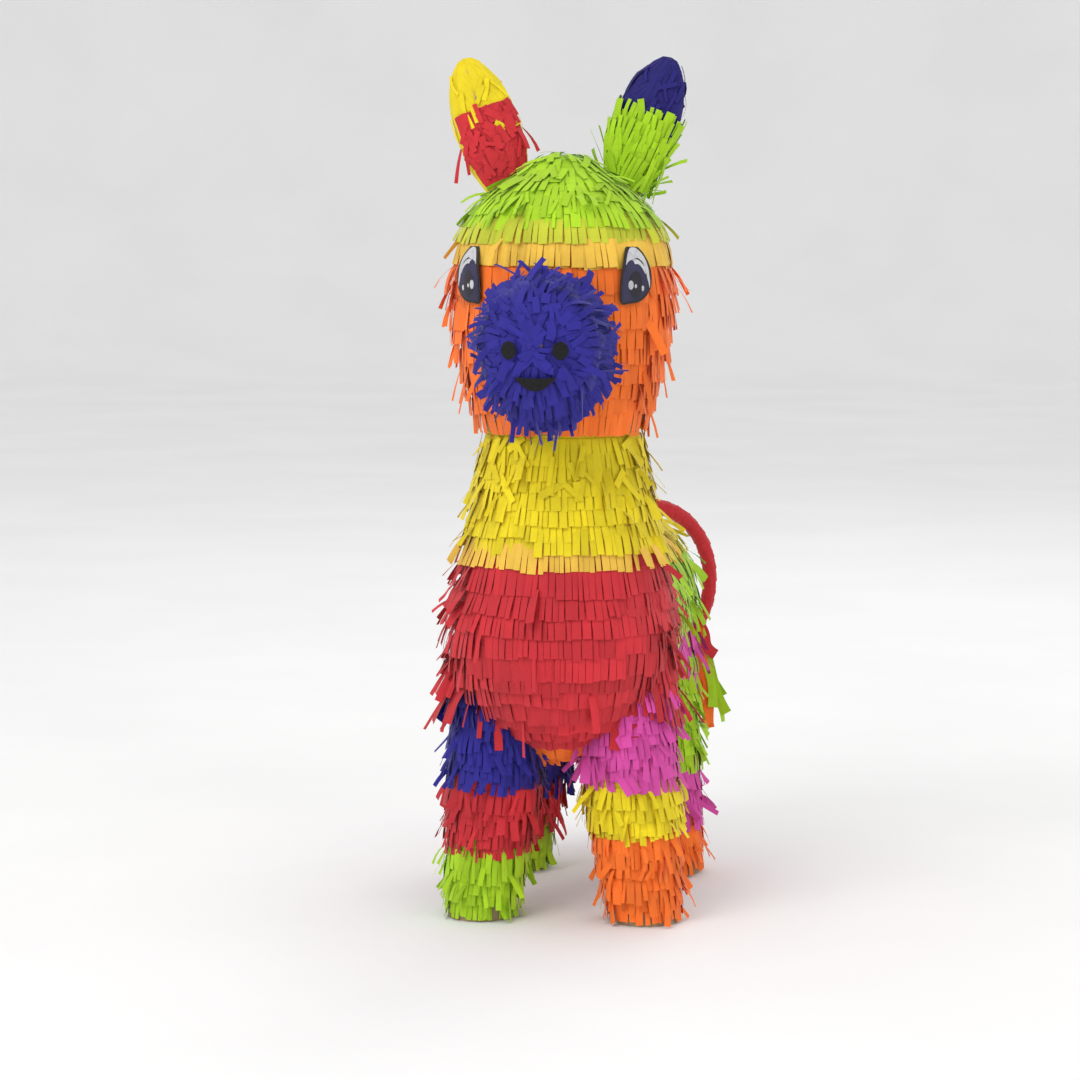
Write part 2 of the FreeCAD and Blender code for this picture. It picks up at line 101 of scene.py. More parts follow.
BODY = ("barrel_tube", "filler_flap", "chest_cap", "rump_cap")
LEG_TUBES = [f"leg_tube_{name}" for name in LEG_NAMES]
FLANKS = surface(*BODY, *LEG_TUBES)
TRUNK = surface(*BODY, "neck_tube", *LEG_TUBES)
NECK = surface("neck_tube", "barrel_tube", "chest_cap", "filler_flap")
HEAD = surface("head_shell_front", "head_shell_rear")
MUZZLE = surface("muzzle_tube", "muzzle_cap")
LEGS = {name: surface(f"leg_tube_{name}") for name in LEG_NAMES}
EARS = {side: surface(f"ear_core_{side}") for side in ("left", "right")}


# ---- materials ----

def settings(node, **values):
    """Sets a node's inputs; an underscore in a name stands for a space."""
    for name, value in values.items():
        node.inputs[name.replace("_", " ")].default_value = value
    return node


def new_node(tree, kind, **values):
    return settings(tree.nodes.new(f"ShaderNode{kind}"), **values)


def new_material(name, **values):
    mat = bpy.data.materials.new(name)
    mat.use_nodes = True
    return mat, mat.node_tree, settings(mat.node_tree.nodes["Principled BSDF"], **values)


def noise(tree, vector, **values):
    node = new_node(tree, "TexNoise", **values)
    tree.links.new(vector, node.inputs["Vector"])
    return node.outputs["Fac"]


def remap(tree, value, **values):
    node = new_node(tree, "MapRange", **values)
    tree.links.new(value, node.inputs["Value"])
    return node.outputs["Result"]


def product(tree, a, b):
    node = new_node(tree, "Math")
    node.operation = "MULTIPLY"
    tree.links.new(a, node.inputs[0])
    tree.links.new(b, node.inputs[1])
    return node.outputs["Value"]


def bump(tree, shader, height, strength, distance):
    node = new_node(tree, "Bump", Strength=strength, Distance=distance)
    tree.links.new(height, node.inputs["Height"])
    tree.links.new(node.outputs["Normal"], shader.inputs["Normal"])


def crepe(name, colour):
    """Crepe paper: fine crinkles across each strip with painted shade in their hollows, a shade of its own per
    strip, and soft uneven fading.
    """
    mat, tree, shader = new_material(name, Roughness=0.72, Specular_IOR_Level=0.28, Sheen_Weight=0.12,
                                     Sheen_Roughness=0.5)
    shade = new_node(tree, "Attribute")
    shade.attribute_name = "shade"
    place = new_node(tree, "TexCoord").outputs["Object"]
    stretch = new_node(tree, "Mapping", Scale=(420.0, 420.0, 2300.0))
    tree.links.new(place, stretch.inputs["Vector"])
    fading = noise(tree, place, Scale=38.0, Detail=3.0)
    crinkle = noise(tree, stretch.outputs["Vector"], Scale=1.0, Detail=4.0, Roughness=0.65)

    # The shade attribute holds each strip's own random tone. On some pieces it also holds painted shade in
    # folds, under overlaps and under fingers, and a painted highlight on loose strips.
    shades = remap(tree, shade.outputs["Fac"], To_Min=0.84, To_Max=1.16)
    faded = remap(tree, fading, From_Min=0.3, From_Max=0.7, To_Min=0.90, To_Max=1.08)
    # Painted shade: the crinkles' height also darkens the colour in their hollows and lightens it on their
    # ridges.
    painted_crinkle_shade = remap(tree, crinkle, From_Min=0.3, From_Max=0.7, To_Min=0.93, To_Max=1.05)
    paint = new_node(tree, "VectorMath")
    paint.operation = "SCALE"
    paint.inputs[0].default_value = colour
    tree.links.new(product(tree, product(tree, shades, faded), painted_crinkle_shade), paint.inputs["Scale"])
    tree.links.new(paint.outputs["Vector"], shader.inputs["Base Color"])
    bump(tree, shader, crinkle, 0.35, 0.4 * MM)
    return mat


def mottled(name, dark, light, scale, roughness, grain_mm=0.0, metallic=0.0):
    """A plain surface with fine uneven colour and, if asked, a grain."""
    mat, tree, shader = new_material(name, Roughness=roughness, Metallic=metallic)
    grain = noise(tree, new_node(tree, "TexCoord").outputs["Object"], Scale=scale, Detail=5.0)
    ramp = new_node(tree, "ValToRGB")
    for element, place, colour in zip(ramp.color_ramp.elements, (0.35, 0.65), (dark, light)):
        element.position = place
        element.color = (*colour, 1.0)
    tree.links.new(grain, ramp.inputs["Fac"])
    tree.links.new(ramp.outputs["Color"], shader.inputs["Base Color"])
    if grain_mm:
        bump(tree, shader, grain, 0.6, grain_mm * MM)
    return mat


CREPE = {
    "orange": (0.93, 0.175, 0.018),
    "yellow": (0.78, 0.62, 0.008),
    "cream": (0.82, 0.50, 0.060),
    "lime": (0.36, 0.60, 0.012),
    "red": (0.56, 0.022, 0.032),
    "pale_lime": (0.50, 0.54, 0.030),
    "pink": (0.66, 0.070, 0.36),
    "blue": (0.020, 0.016, 0.25),
    "navy": (0.012, 0.008, 0.14),
}
PAPER = {name: crepe(f"crepe_{name}", colour) for name, colour in CREPE.items()}
CARTON = mottled("carton", (0.33, 0.22, 0.12), (0.50, 0.36, 0.22), 90.0, 0.85, 0.4)
STEEL = mottled("wire", (0.42, 0.42, 0.43), (0.62, 0.62, 0.63), 300.0, 0.32, 0.05, 1.0)
EYE_WHITE = mottled("eye_white", (0.46, 0.46, 0.49), (0.62, 0.62, 0.64), 220.0, 0.35)
EYE_BLACK = mottled("eye_black", (0.004, 0.003, 0.004), (0.010, 0.008, 0.010), 200.0, 0.38)
EYE_NAVY = mottled("eye_navy", (0.012, 0.010, 0.040), (0.028, 0.022, 0.080), 60.0, 0.38)
EYE_DARK = mottled("eye_dark", (0.006, 0.004, 0.010), (0.014, 0.009, 0.016), 80.0, 0.38)
FELT = mottled("black_felt", (0.002, 0.002, 0.002), (0.008, 0.007, 0.008), 900.0, 0.95, 0.5)
FLOOR = mottled("floor", (0.90, 0.90, 0.90), (0.93, 0.93, 0.93), 3.0, 0.9)


# ---- meshes ----

class Sheets:
    """Collects quads and a shade for each vertex, then makes one object of them."""

    def __init__(self):
        self.verts, self.faces, self.shades, self.slots, self.count = [], [], [], [], 0

    def add(self, verts, faces, shade, slot=0):
        """verts (..., 3), faces (m, 4) and one shade per vertex or for all of them."""
        verts = verts.reshape(-1, 3)
        self.faces.append(faces + self.count)
        self.verts.append(verts)
        self.shades.append(np.broadcast_to(shade, len(verts)))
        self.slots.append(np.full(len(faces), slot))
        self.count += len(verts)

    def build(self, name, materials, body, node, smooth=False):
        """The piece rides the body and stands in for one CAD node, which it hides."""
        verts = np.concatenate(self.verts)
        faces = np.concatenate(self.faces)
        mesh = bpy.data.meshes.new(name)
        mesh.from_pydata(verts.tolist(), [], [tuple(dict.fromkeys(f)) for f in faces.tolist()])
        for material in materials:
            mesh.materials.append(material)
        shade = mesh.attributes.new("shade", "FLOAT", "POINT")
        shade.data.foreach_set("value", np.clip(np.concatenate(self.shades), 0, 1))
        mesh.polygons.foreach_set("material_index", np.concatenate(self.slots).astype(np.int32))
        mesh.polygons.foreach_set("use_smooth", np.full(len(faces), smooth))
        mesh.update()
        mesh.validate()
        piece = link(name, mesh)
        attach(piece, body)
        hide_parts(node)

    def paper(self, name, colour, node, body="carcass", hem=None, smooth=False):
        """A piece of crepe in one colour, and a second one for the hem if asked."""
        materials = [PAPER[colour]] + ([PAPER[hem]] if hem else [])
        self.build(name, materials, body, node, smooth)


def link(name, data):
    item = bpy.data.objects.new(name, data)
    bpy.context.scene.collection.objects.link(item)
    return item


def quads(a, b, c, d):
    """Faces from four arrays of corners, or from three arrays and one shared corner."""
    return np.stack(np.broadcast_arrays(a, b, c, d), axis=-1).reshape(-1, 4)


def rings(grid):
    """Faces between the rows of a grid that closes on itself sideways, and its columns moved on by one."""
    after = np.roll(grid, -1, axis=1)
    return quads(grid[:-1], after[:-1], after[1:], grid[1:]), after


def vec(x, y, z):
    """Points or directions from three arrays or numbers."""
    return np.stack(np.broadcast_arrays(x, y, z), axis=-1)


def unit(v):
    return v / np.maximum(np.linalg.norm(v, axis=-1, keepdims=True), 1e-12)


def ribbon(sheets, path, across, out, half_width, cup, shade, slot=0, thick=0.22 * MM):
    """Closed paper strips.  path, across and out are (n, k, 3): n strips, k stations along each.

    cup is how far a strip's middle bulges outwards.  Strips with a point missing are left out, and what
    would dip into the floor is squeezed into the last millimetre above it.
    """
    n, k = path.shape[:2]
    half_width = np.broadcast_to(half_width, (n, k))[..., None]
    cup = np.broadcast_to(cup, (n, k))[..., None]
    left = path - across * half_width
    right = path + across * half_width
    top = path + out * (cup + thick / 2)
    bottom = path + out * (cup - thick / 2)
    verts = np.stack([left, top, right, bottom], axis=2)  # n, k, 4, 3
    low = np.minimum(verts[..., 2], MM)
    verts[..., 2] = np.where(low < MM, MM * np.exp(low / MM - 1), verts[..., 2])
    whole = np.isfinite(verts).all(axis=(1, 2, 3))
    verts, shade, n = verts[whole], np.broadcast_to(shade, n)[whole], int(whole.sum())
    station = np.arange(n * k).reshape(n, k) * 4
    here, ahead = station[:, :-1], station[:, 1:]
    faces = [quads(here + j, here + (j + 1) % 4, ahead + (j + 1) % 4, ahead + j) for j in range(4)]
    first, last = station[:, 0], station[:, -1]
    faces.append(quads(first + 3, first + 2, first + 1, first))
    faces.append(quads(last, last + 1, last + 2, last + 3))
    sheets.add(verts, np.concatenate(faces), np.repeat(shade, k * 4), slot)


def smooth_noise(rng, n, step):
    """Random numbers that wander along a row, about one turn in each step fingers."""
    knots = rng.normal(size=int(n / step) + 3)
    return np.interp(np.arange(n) / step, np.arange(len(knots)), knots)


def clusters(rng, n, size):
    """Random numbers that neighbouring fingers share, in groups of about size."""
    group = np.cumsum(rng.random(n) < 1 / size)
    return rng.normal(size=n + 1)[group]


def cast(tree, origins, targets):
    """Points where rays from each origin towards each target first meet the surface, NaN if they miss."""
    hits = np.full(origins.shape, np.nan)
    flat_from, flat_to, flat = origins.reshape(-1, 3), targets.reshape(-1, 3), hits.reshape(-1, 3)
    for i in range(len(flat)):
        start = Vector(flat_from[i])
        point = tree.ray_cast(start, Vector(flat_to[i]) - start)[0]
        if point is not None:
            flat[i] = point
    return hits


# ---- surface maps: station runs down the fringe's fall, place along its row ----

def ray_map(tree, aim, reach, sign=1):
    """at(station, place): where a ray coming in from reach away first meets the surface.

    aim(station, place) gives the ray's foot and the direction it comes from.  The sign is 1 if the cross
    product of the two ways along the surface points out of it.
    """
    def at(station, place):
        foot, ray = aim(*np.broadcast_arrays(station, place))
        return cast(tree, foot + ray * reach, foot)
    at.sign = sign
    return at


def turned_map(tree, centre_x, centre_y, reach=0.4):
    """Rows of constant height round an axis whose x follows the height, centre_x(z).

    Station is minus the height, place an angle from -Y.
    """
    def aim(station, angle):
        return vec(centre_x(-station), centre_y, -station), vec(np.sin(angle), -np.cos(angle), 0.0)
    return ray_map(tree, aim, reach)


def domed_map(tree, centre, radius):
    """Rows of constant elevation round a centre: station is the arc from the top, place an angle from -Y."""
    def aim(station, angle):
        tilt = station / radius
        ray = vec(np.sin(angle) * np.sin(tilt), -np.cos(angle) * np.sin(tilt), np.cos(tilt))
        return np.broadcast_to(centre, ray.shape), ray
    return ray_map(tree, aim, 0.4)


def trunk_path(place):
    """A ray's foot on the barrel's axis and its direction seen from above, for a place on the body's outline.

    The place runs from the chest joint back along the left flank, round the rump and forward on the right.
    """
    length = RUMP_Y - CHEST_Y
    turn = math.pi * BARREL_R
    rump_or_right = np.where(place < length + turn, RUMP_Y, RUMP_Y - (place - length - turn))
    angle = np.clip((place - length) / turn, 0, 1) * math.pi
    return np.where(place < length, CHEST_Y + place, rump_or_right), np.cos(angle), np.sin(angle)


def trunk_map(tree):
    """Rows along the flanks and round the rump: station is the arc down from the back's ridge."""
    def aim(station, place):
        tilt = station / BARREL_R
        y, side, back = trunk_path(place)
        return vec(0.0, y, BARREL_Z), vec(side * np.sin(tilt), back * np.sin(tilt), np.cos(tilt))
    return ray_map(tree, aim, 0.4)


def muzzle_map(tree):
    """Rings round the muzzle, and the station in mm at which its face bends into its sides.

    Station is the arc from the centre of the face, place an angle from the top.
    """
    depth = RIM_Y - MUZZLE_TIP
    bend = (MUZZLE_R + depth) / 2 * math.pi / 2

    def aim(station, angle):
        tilt = np.clip(station / bend, 0, 1) * math.pi / 2
        ray = vec(np.sin(angle) * np.sin(tilt), -np.cos(tilt) * depth / MUZZLE_R, np.cos(angle) * np.sin(tilt))
        return vec(0.0, RIM_Y + np.maximum(station - bend, 0), MUZZLE_Z), unit(ray)
    return ray_map(tree, aim, 0.3, -1), bend / MM


# ---- fringe ----

FINGER_STATIONS = 5
ROW_SAMPLES = 161
WIDEST_STEP = 25 * MM  # a longer step along a row is a gap in it
LOWEST = 0.0018  # of a finger's middle line, above the ground
HEADER_TILE = 9 * MM


def facing_out(path, out):
    """Directions square to each path, as near to out as they can be, and those along the path."""
    tangent = unit(np.gradient(path, axis=1))
    return unit(out - tangent * np.einsum("nkc,nkc->nk", out, tangent)[..., None]), tangent

def fringe(sheets, at, station, places, rng, length=20.0, width=5.2, lift=7.0, spread=4.0, curl=5.0,
           wild=0.04, wild_lift=32.0, height=1.2, fall=0.25, yaw=2.5, header=13.0, slot=0, keep=None,
           press=None, loose=None, wander=1.0, ragged=1.0):
    """One row of cut fringe: an uncut header lying on the surface, and fingers that fall over the next row.

    Lengths are in mm, angles in degrees.  places are the row's two ends.
    keep(points) masks fingers by their roots; press(points) gives 0 to 1 where they are held flat, and
    loose(points) 0 to 1 where they stand away.  A wild share of them sticks out by about wild_lift.
    """
    dense = np.linspace(places[0], places[1], ROW_SAMPLES)
    line = at(np.full_like(dense, station), dense)
    good = ~np.isnan(line[:, 0])
    if good.sum() < 3:
        return
    dense, line = dense[good], line[good]
    steps = np.linalg.norm(np.diff(line, axis=0), axis=1)
    steps = np.where(steps > WIDEST_STEP, 0, steps)
    run = np.concatenate([[0], np.cumsum(steps)])
    count = int(run[-1] / (width * MM))
    if count < 2:
        return
    widths = np.clip(np.exp(0.30 * rng.normal(size=count)), 0.5, 1.8)
    widths *= run[-1] / widths.sum()
    along = np.cumsum(widths) - widths / 2
    place = np.interp(along, run, dense)
    root = vec(*(np.interp(along, run, line[:, c]) for c in range(3)))
    free = np.clip(loose(root), 0, 1) if loose is not None else np.zeros(count)

    lengths = 1 + wander * 0.045 * smooth_noise(rng, count, 9)
    lengths += ragged * (0.05 * clusters(rng, count, 4) + 0.02 * rng.normal(size=count))
    lengths = length * np.clip(lengths * (1 + 0.14 * free), 0.72, 1.35)
    is_wild = rng.random(count) < wild + 0.30 * free
    lengths = np.where(is_wild, lengths * rng.uniform(0.95, 1.2, count), lengths)
    k = FINGER_STATIONS
    t = np.linspace(0, 1, k)[None, :]
    stations = station + lengths[:, None] * MM * t
    base = at(stations, place[:, None])
    delta = 0.004 * (dense[-1] - dense[0])
    level = np.full(count, station + length * 0.4 * MM)
    side = at(level, place + delta) - at(level, place - delta)
    good = ~(np.isnan(base).any(axis=(1, 2)) | np.isnan(side).any(axis=1))
    jump = np.linalg.norm(np.diff(base, axis=1), axis=2).max(axis=1)
    good &= jump < lengths * MM * 0.5
    if keep is not None:
        good &= keep(base[:, 0])
    if not good.any():
        return
    base, side, widths, is_wild, free = (v[good] for v in (base, side, widths, is_wild, free))
    lengths = lengths[good, None] * MM
    n = len(base)
    across = unit(side)[:, None, :] * np.ones((1, k, 1))
    down = unit(np.gradient(base, axis=1))
    out = unit(np.cross(down, across)) * at.sign
    across = unit(np.cross(out, down))
    pressed = np.clip(press(base[:, k // 2]), 0, 1) if press is not None else np.zeros(n)
    calm = 1 - pressed

    angle = lift + 20 * free + spread * (0.75 * clusters(rng, n, 4) + 0.35 * rng.normal(size=n))
    angle = np.where(is_wild, np.abs(rng.normal(wild_lift, wild_lift * 0.35, n)), angle)
    angle = np.clip(angle, 0.5, 82) * np.where(pressed > 0, 0.2 + 0.8 * calm, 1)
    bend = curl * (0.6 * clusters(rng, n, 4) + 0.6 * rng.normal(size=n)) * (0.3 + 0.7 * calm)
    turn = yaw * (0.7 * clusters(rng, n, 4) + 0.4 * rng.normal(size=n)) * np.where(is_wild, 4.0, 1.0)
    turn = np.clip(turn * (1 + 2 * free), -40, 40)
    restless = np.where(is_wild, 5.0, 1.0 + 2 * free) * (0.3 + 0.7 * calm)
    roll = np.radians(4 * clusters(rng, n, 3) * restless)
    twist = np.radians(rng.normal(0, 4, n) * restless)

    slope = np.radians(np.clip(angle[:, None] + bend[:, None] * (t - 0.5) * 2, 0.3, 88))
    step = np.diff(base, axis=1)
    size = np.linalg.norm(step, axis=2, keepdims=True)
    mid_slope = (slope[:, 1:] + slope[:, :-1]) / 2
    mid_out = unit(out[:, 1:] + out[:, :-1])
    rise = np.cumsum(np.sin(mid_slope)[..., None] * size, axis=1)
    ahead = np.cumsum(np.cos(mid_slope)[..., None] * step, axis=1)
    start = base[:, :1] + out[:, :1] * height * MM
    path = np.concatenate([start, start + ahead + rise * (0.35 * out[:, :1] + 0.65 * mid_out)], axis=1)
    sideways = np.tan(np.radians(turn))[:, None] * t ** 1.3 * lengths
    path = path + across * sideways[..., None]
    proud = np.einsum("nkc,nkc->nk", path - base, out)
    hang = fall * (0.35 + 0.65 * np.clip(proud / lengths, 0, 1)) + 0.8 * np.clip(-out[..., 2], 0, 1)
    path[..., 2] -= hang * (t ** 2) * lengths * 0.6
    path[..., 2] = np.maximum(path[..., 2], LOWEST + 0.2 * MM * rng.random((n, 1)))

    facing, tangent = facing_out(path, out)
    flat = np.cross(tangent, facing)
    spin = roll[:, None] + twist[:, None] * t
    cos, sin = np.cos(spin)[..., None], np.sin(spin)[..., None]
    across_now = flat * cos + facing * sin
    out_now = facing * cos - flat * sin
    half = widths[:, None] / 2 * (1 - 0.05 * t)
    cup = rng.normal(0.05, 0.2, (n, 1)) * MM * (0.3 + 0.7 * t)
    shade = 0.5 + 0.20 * clusters(rng, n, 4) + 0.10 * smooth_noise(rng, n, 9) + 0.08 * rng.normal(size=n)
    ribbon(sheets, path, across_now, out_now, half, cup, np.clip(shade, 0, 1), slot)

    if header:
        lay_header(sheets, at, station, places, run[-1], header, height, rng, slot, keep)


def flakes(sheets, at, stations, places, count, rng, length=12.0, width=5.0, height=2.2, toward=None,
           light=0.1, keep=None):
    """Loose strips stuck flat on a surface, at any angle or about one angle from the fall line; light lifts
    their shade as a painted highlight.
    """
    station = rng.uniform(stations[0], stations[1], count) * MM
    place = rng.uniform(places[0], places[1], count)
    step = 0.001 * (places[1] - places[0])
    here = at(station, place)
    aside = at(station, place + step) - here
    ahead = at(station + 0.5 * MM, place) - here
    turn = rng.uniform(-math.pi, math.pi, count) if toward is None else rng.normal(toward, 0.45, count)
    out = unit(np.cross(ahead, aside)) * at.sign
    per_place = np.maximum(np.linalg.norm(aside, axis=1) / step, 1e-4)
    k = FINGER_STATIONS
    t = np.linspace(-0.5, 0.5, k)[None, :]
    run = length * MM * rng.uniform(0.6, 1.2, (count, 1)) * t
    base = at(station[:, None] + run * np.cos(turn)[:, None],
              place[:, None] + run * np.sin(turn)[:, None] / per_place[:, None])
    good = ~(np.isnan(base).any(axis=(1, 2)) | np.isnan(out).any(axis=1))
    good &= np.linalg.norm(base[:, -1] - base[:, 0], axis=1) < length * MM * 1.4
    if keep is not None:
        good &= keep(here)
    if not good.any():
        return
    base, out = base[good], out[good][:, None, :] * np.ones((1, k, 1))
    n = len(base)
    away = height + rng.uniform(-0.3, 0.5, (n, 1)) + rng.uniform(0, 1.6, (n, 1)) * (t + 0.5) ** 2
    path = base + out * away[..., None] * MM
    facing, tangent = facing_out(path, out)
    half = width / 2 * MM * rng.uniform(0.6, 1.25, (n, 1))
    # Painted highlight: light makes the loose strips lying on top lighter than the paper under them.
    shade = np.clip(0.5 + light + 0.2 * rng.normal(size=n), 0, 1)
    ribbon(sheets, path, np.cross(tangent, facing), facing, half, 0.0, shade)


def lay_header(sheets, at, station, places, run, header, height, rng, slot, keep):
    """The uncut strip above the fingers, as closed tiles edge to edge along the row, painted a little darker
    as shade under the fingers above.
    """
    count = max(int(run / HEADER_TILE), 3)
    edges = np.linspace(places[0], places[1], count + 1)
    t = np.linspace(-1, 0.12, 3)[None, :]
    line = at(station + header * MM * t, edges[:, None])
    bad = np.isnan(line).any(axis=(1, 2))
    left, right = line[:-1], line[1:]
    good = ~(bad[:-1] | bad[1:]) & (np.linalg.norm(right - left, axis=2).max(axis=1) < 30 * MM)
    good &= np.linalg.norm(np.diff(left, axis=1), axis=2).max(axis=1) < header * MM * 1.2
    if keep is not None:
        good &= keep((left[:, -1] + right[:, -1]) / 2)
    if not good.any():
        return
    left, right = left[good], right[good]
    path = (left + right) / 2
    across = right - left
    half = np.linalg.norm(across, axis=2) / 2 * 1.02
    across = unit(across)
    out = unit(np.cross(unit(np.gradient(path, axis=1)), across)) * at.sign
    path = path + out * (height - 0.55) * MM
    # Painted shade: headers sit a little darker than the fingers that cover them.
    shade = np.clip(0.4 + 0.1 * rng.normal(size=len(path)), 0, 1)
    ribbon(sheets, path, across, out, half, 0.0, shade, slot)


FULL_TURN = (-math.pi, math.pi)
AROUND = (0, 2 * math.pi)
SIDES = (("left", 1), ("right", -1))


def rows(sheets, at, first, last, spacing, rng, places=FULL_TURN, hem_slot=0, **spec):
    """Rows from the lowest up, so that each falls over the one below; first and last are stations in mm."""
    count = max(int(round((last - first) / spacing)), 1)
    for i in range(count, -1, -1):
        station = first + (last - first) * i / count + rng.normal(0, 0.06 * spacing)
        fringe(sheets, at, station * MM, places, rng, slot=hem_slot if i == count else 0, **spec)


def seeded(number):
    return np.random.default_rng(SEED + number)


def between(values, low, high):
    return (values > low) & (values < high)


# ---- head and neck ----

def make_head():
    face_top, brow_top = top_mm("face_fringe_orange"), top_mm("brow_fringe_yellow")
    face_map = turned_map(HEAD, np.zeros_like, HEAD_Y)
    face = Sheets()
    rows(face, face_map, -face_top + 4, -JAW_Z / MM - 13, 12.5, seeded(1), lift=8, wild=0.03, press=near_eyes,
         keep=off_muzzle, loose=cheek_sides)
    face.paper("face_fringe", "orange", "face_fringe_orange")
    brow = Sheets()
    rows(brow, face_map, -brow_top + 2, -face_top - 16, 9.0, seeded(2), lift=5, spread=3,
         wild=0.015, press=near_eyes, ragged=0.7)
    brow.paper("brow_fringe", "cream", "brow_fringe_yellow")

    crown = Sheets()
    rng = seeded(3)
    crown_map = domed_map(HEAD, CROWN, HEAD_R)
    arc = HEAD_R * math.acos((brow_top * MM - CROWN[2]) / HEAD_R) / MM  # from the top down to the brow
    rows(crown, crown_map, 7.0, arc - 15, 12.0, rng, length=21, lift=6, curl=6, wild=0.03,
         press=near_eyes, keep=clear_of_ears, loose=cheek_sides, hem_slot=1)
    flakes(crown, crown_map, (12, arc - 20), FULL_TURN, 60, rng, length=17, width=4.5, height=3.2, toward=0.0,
           keep=clear_of_ears)
    crown.paper("crown_fringe", "lime", "crown_fringe_lime", hem="pale_lime")


def cheek_sides(points):
    """Fingers stand away at the sides of the head."""
    return 0.4 * np.clip((np.abs(points[:, 0]) - 0.058) / 0.022, 0, 1)


def near_eyes(points):
    """1 under the printed eyes, 0 away from them."""
    held = np.zeros(len(points))
    for side, _ in SIDES:
        low, high = box(f"eye_{side}")
        centre, half = (low + high) / 2, (high - low) / 2
        gap = np.abs(points - centre) / (half + np.array([0.004, 0.012, 0.004]))
        held = np.maximum(held, (gap.max(axis=1) < 1).astype(float))
    return held


def off_muzzle(points):
    """Leaves out fingers that the muzzle covers."""
    x, y, z = points.T
    return ~((y < HEAD_Y) & (np.hypot(x, z - MUZZLE_Z) < MUZZLE_R * 0.84))


def clear_of_ears(points):
    """False in an egg-shaped patch round each ear's root."""
    keep = np.ones(len(points), bool)
    for side, sign in SIDES:
        low, high = box(f"ear_core_{side}")
        root = np.array([sign * 0.047, (low[1] + high[1]) / 2 - 0.004, low[2] + 0.012])
        gap = (points - root) / np.array([0.016, 0.009, 0.05])
        keep &= (gap ** 2).sum(axis=1) > 1
    return keep


def make_neck():
    top, bottom = top_mm("neck_tube"), box("neck_fringe_yellow")[0][2] / MM
    at = turned_map(NECK, np.zeros_like, NECK_Y)
    rng = seeded(4)

    def on_neck(p):
        return np.hypot(p[:, 0], p[:, 1] - NECK_Y) < np.interp(p[:, 2], [NECK_FOOT, 0.385], [0.094, 0.066])

    def ruff(p):
        return 0.45 * np.clip((np.abs(p[:, 0]) - 0.050) / 0.025, 0, 1)

    neck = Sheets()
    rows(neck, at, -top + 2, -bottom - 17, 11.5, rng, loose=ruff, keep=on_neck, hem_slot=1)
    flakes(neck, at, (-top + 6, -bottom - 55), FULL_TURN, 90, rng, length=20, height=4.0, toward=0.0, light=0,
           keep=on_neck)
    neck.paper("neck_fringe", "yellow", "neck_fringe_yellow", hem="cream")


# ---- body and legs ----

def leg_centre(name):
    low, high = box(f"foot_disc_{name}")
    return (low + high) / 2


def off_legs(points):
    """False where a low point lies on or in a leg, so that the leg's own bands show there."""
    x, y, z = points.T
    near = np.zeros(len(points), bool)
    for name in LEG_NAMES:
        foot = leg_centre(name)
        axis = np.sign(foot[0]) * np.interp(z, LEG_Z, LEG_X)
        near |= np.hypot(x - axis, y - foot[1]) < np.interp(z, LEG_Z, LEG_R) + 0.001
    return ~(near & (z < 0.182))


def off_neck(points):
    x, y, z = points.T
    radius = np.interp(z, [NECK_FOOT, NECK_HIGH[2]], [0.084, 0.060]) - 0.001
    return (np.hypot(x, y - NECK_Y) > radius) | (z < 0.262)


def off_flap(points):
    """Leaves out fingers on the flap, across its hinge and round the hanger's loop."""
    x, y, z = points.T
    on = between(x, FLAP_LOW[0] - 0.0045, FLAP_HIGH[0] + 0.0005)
    on &= between(y, FLAP_LOW[1] - 0.0008, FLAP_HIGH[1] + 0.0008)
    hanger = (np.abs(x) < 0.004) & (y < FLAP_LOW[1] - 0.018)
    return ~((on | hanger) & (z > BARREL_Z))


def flank_keep(points):
    return (points[:, 1] > CHEST_BACK_Y - 0.004) & off_legs(points) & off_neck(points) & off_flap(points)


def make_chest():
    def forward(p):
        return (p[:, 1] < CHEST_BACK_Y + 0.005) & off_legs(p)

    def ragged_side(p):
        x = p[:, 0]
        return np.clip((-x - 0.048) / 0.030, 0, 1) + 0.35 * np.clip((x - 0.066) / 0.014, 0, 1)

    def under(p):
        return off_legs(p) & (p[:, 1] > CHEST_Y + 0.004)

    calm = dict(length=20, width=5.6, lift=6, spread=3, curl=3, wild=0.02, yaw=1.2, keep=forward, wander=0.6,
                loose=ragged_side, places=(-1.95, 1.95))
    dome = domed_map(TRUNK, (0.0, CHEST_Y, BARREL_Z), BARREL_R)
    level = BARREL_R * math.pi / 2 / MM
    red = Sheets()
    rows(red, dome, level + 4, level + 73, 11.5, seeded(5), **calm)
    upright = turned_map(TRUNK, np.zeros_like, CHEST_Y)
    rows(red, upright, -CHEST_TOP + 2, -BARREL_Z / MM - 8, 13.5, seeded(6), **calm)
    red.paper("chest_fringe", "red", "chest_fringe_red")
    belly = Sheets()
    rows(belly, dome, level + 84, level + 102, 9.0, seeded(7), places=(-1.4, 0.9), length=26, lift=11,
         wild=0.05, keep=off_legs)
    rows(belly, trunk_map(TRUNK), 217, 255, 13.0, seeded(8), places=(0.004, TRUNK_LENGTH - 0.004), wild=0.05,
         keep=under)
    belly.paper("belly_fringe", "orange", "belly_fringe_orange")


